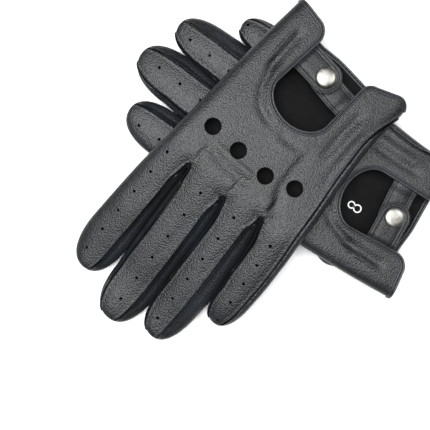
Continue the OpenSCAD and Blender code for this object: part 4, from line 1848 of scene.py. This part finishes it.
@dataclass(frozen=True)
class Studio:
    """A white sweep, big soft lights and the camera straight above."""

    camera_from_wrist: Point = (-6.46, 126.9)
    camera_up: Point = (0.6739, -0.7389)
    distance: float = 430.0
    lens: float = 54.5
    floor_size: float = 6.0
    sky: float = 0.12

    @property
    def camera_at(self) -> Point:
        """The point under the camera, from the left glove's wrist mount."""
        wrist = wrist_mount(Side.LEFT)["pos_m"]
        return wrist[0] / MM + self.camera_from_wrist[0], wrist[1] / MM + self.camera_from_wrist[1]

    def floor(self) -> None:
        """The floor, level under the gloves."""
        bm = bmesh.new()
        bmesh.ops.create_grid(bm, x_segments=8, y_segments=8, size=self.floor_size / 2)
        mesh = bpy.data.meshes.new("floor")
        bm.to_mesh(mesh)
        bm.free()
        # Matt white paper: lit to a clean, even white.
        mesh.materials.append(Matt("matt_white_paper", ("#f4f4f4", "#f8f8f8"), 0.95, 400).make())
        obj = bpy.data.objects.new("floor", mesh)
        bpy.context.scene.collection.objects.link(obj)

    def light(
        self, name: str, place: Sequence[float], target: Sequence[float], size: float, power: float
    ) -> None:
        """A square soft light looking at a target."""
        data = bpy.data.lights.new(name, "AREA")
        data.shape = "SQUARE"
        data.size = size
        data.energy = power
        obj = bpy.data.objects.new(name, data)
        bpy.context.scene.collection.objects.link(obj)
        obj.location = Vector(place)
        obj.rotation_euler = (Vector(target) - Vector(place)).to_track_quat("-Z", "Y").to_euler()

    def lights(self) -> None:
        """A big key over the fingertips' side, a small light off the cuffs and a dim sky."""
        right = Vector((-self.camera_up[1], self.camera_up[0], 0)) * -1
        up = Vector((*self.camera_up, 0))
        target = (self.camera_at[0] * MM, self.camera_at[1] * MM, 0.02)
        key = right * -0.26 + up * 0.06 + Vector((0, 0, 1.05))
        side = right * 0.6 + up * 0.2 + Vector((0, 0, 0.95))
        self.light("key", key, target, 0.9, 23.0)
        self.light("side", side, target, 0.25, 3.5)
        view = bpy.context.scene.view_settings
        view.view_transform, view.look, view.exposure = "Standard", "None", 0.0
        world = bpy.data.worlds.new("studio")
        world.use_nodes = True
        background = world.node_tree.nodes["Background"]
        background.inputs["Color"].default_value = srgb("#ffffff")
        background.inputs["Strength"].default_value = self.sky
        bpy.context.scene.world = world

    def camera(self) -> None:
        """The camera, looking straight down."""
        data = bpy.data.cameras.new("camera")
        data.lens, data.sensor_width = self.lens, 36.0
        obj = bpy.data.objects.new("camera", data)
        bpy.context.scene.collection.objects.link(obj)
        up = Vector((*self.camera_up, 0)).normalized()
        right = Vector((up.y, -up.x, 0))
        turn = Matrix((right, up, Vector((0, 0, 1)))).transposed().to_4x4()
        turn.translation = Vector((self.camera_at[0], self.camera_at[1], self.distance)) * MM
        obj.matrix_world = turn
        bpy.context.scene.camera = obj

    def build(self) -> None:
        """Set up the floor, the lights and the camera."""
        self.floor()
        self.lights()
        self.camera()


def lay_of(side: Side, fold_y: float, run: float, bunch: float) -> Lay:
    """How a glove lies, its height read from its wrist mount."""
    return Lay(side, wrist_mount(side)["pos_m"][2] / MM - GloveForm.half_h, fold_y, run, bunch)


def main() -> None:
    """Build the studio and both gloves, logging each piece's face count."""
    logging.basicConfig(level=logging.INFO, format="%(name)s: %(message)s")
    Studio().build()
    finishes = Finishes()
    form, folds = GloveForm(), Folds()
    for lay in (lay_of(Side.RIGHT, 106, 42, 10.4), lay_of(Side.LEFT, 114, 91, 0.0)):
        Glove(lay, finishes, form, folds).build()
        LOG.info("%s glove done", lay.side.value)


if __name__ == "__main__":
    main()
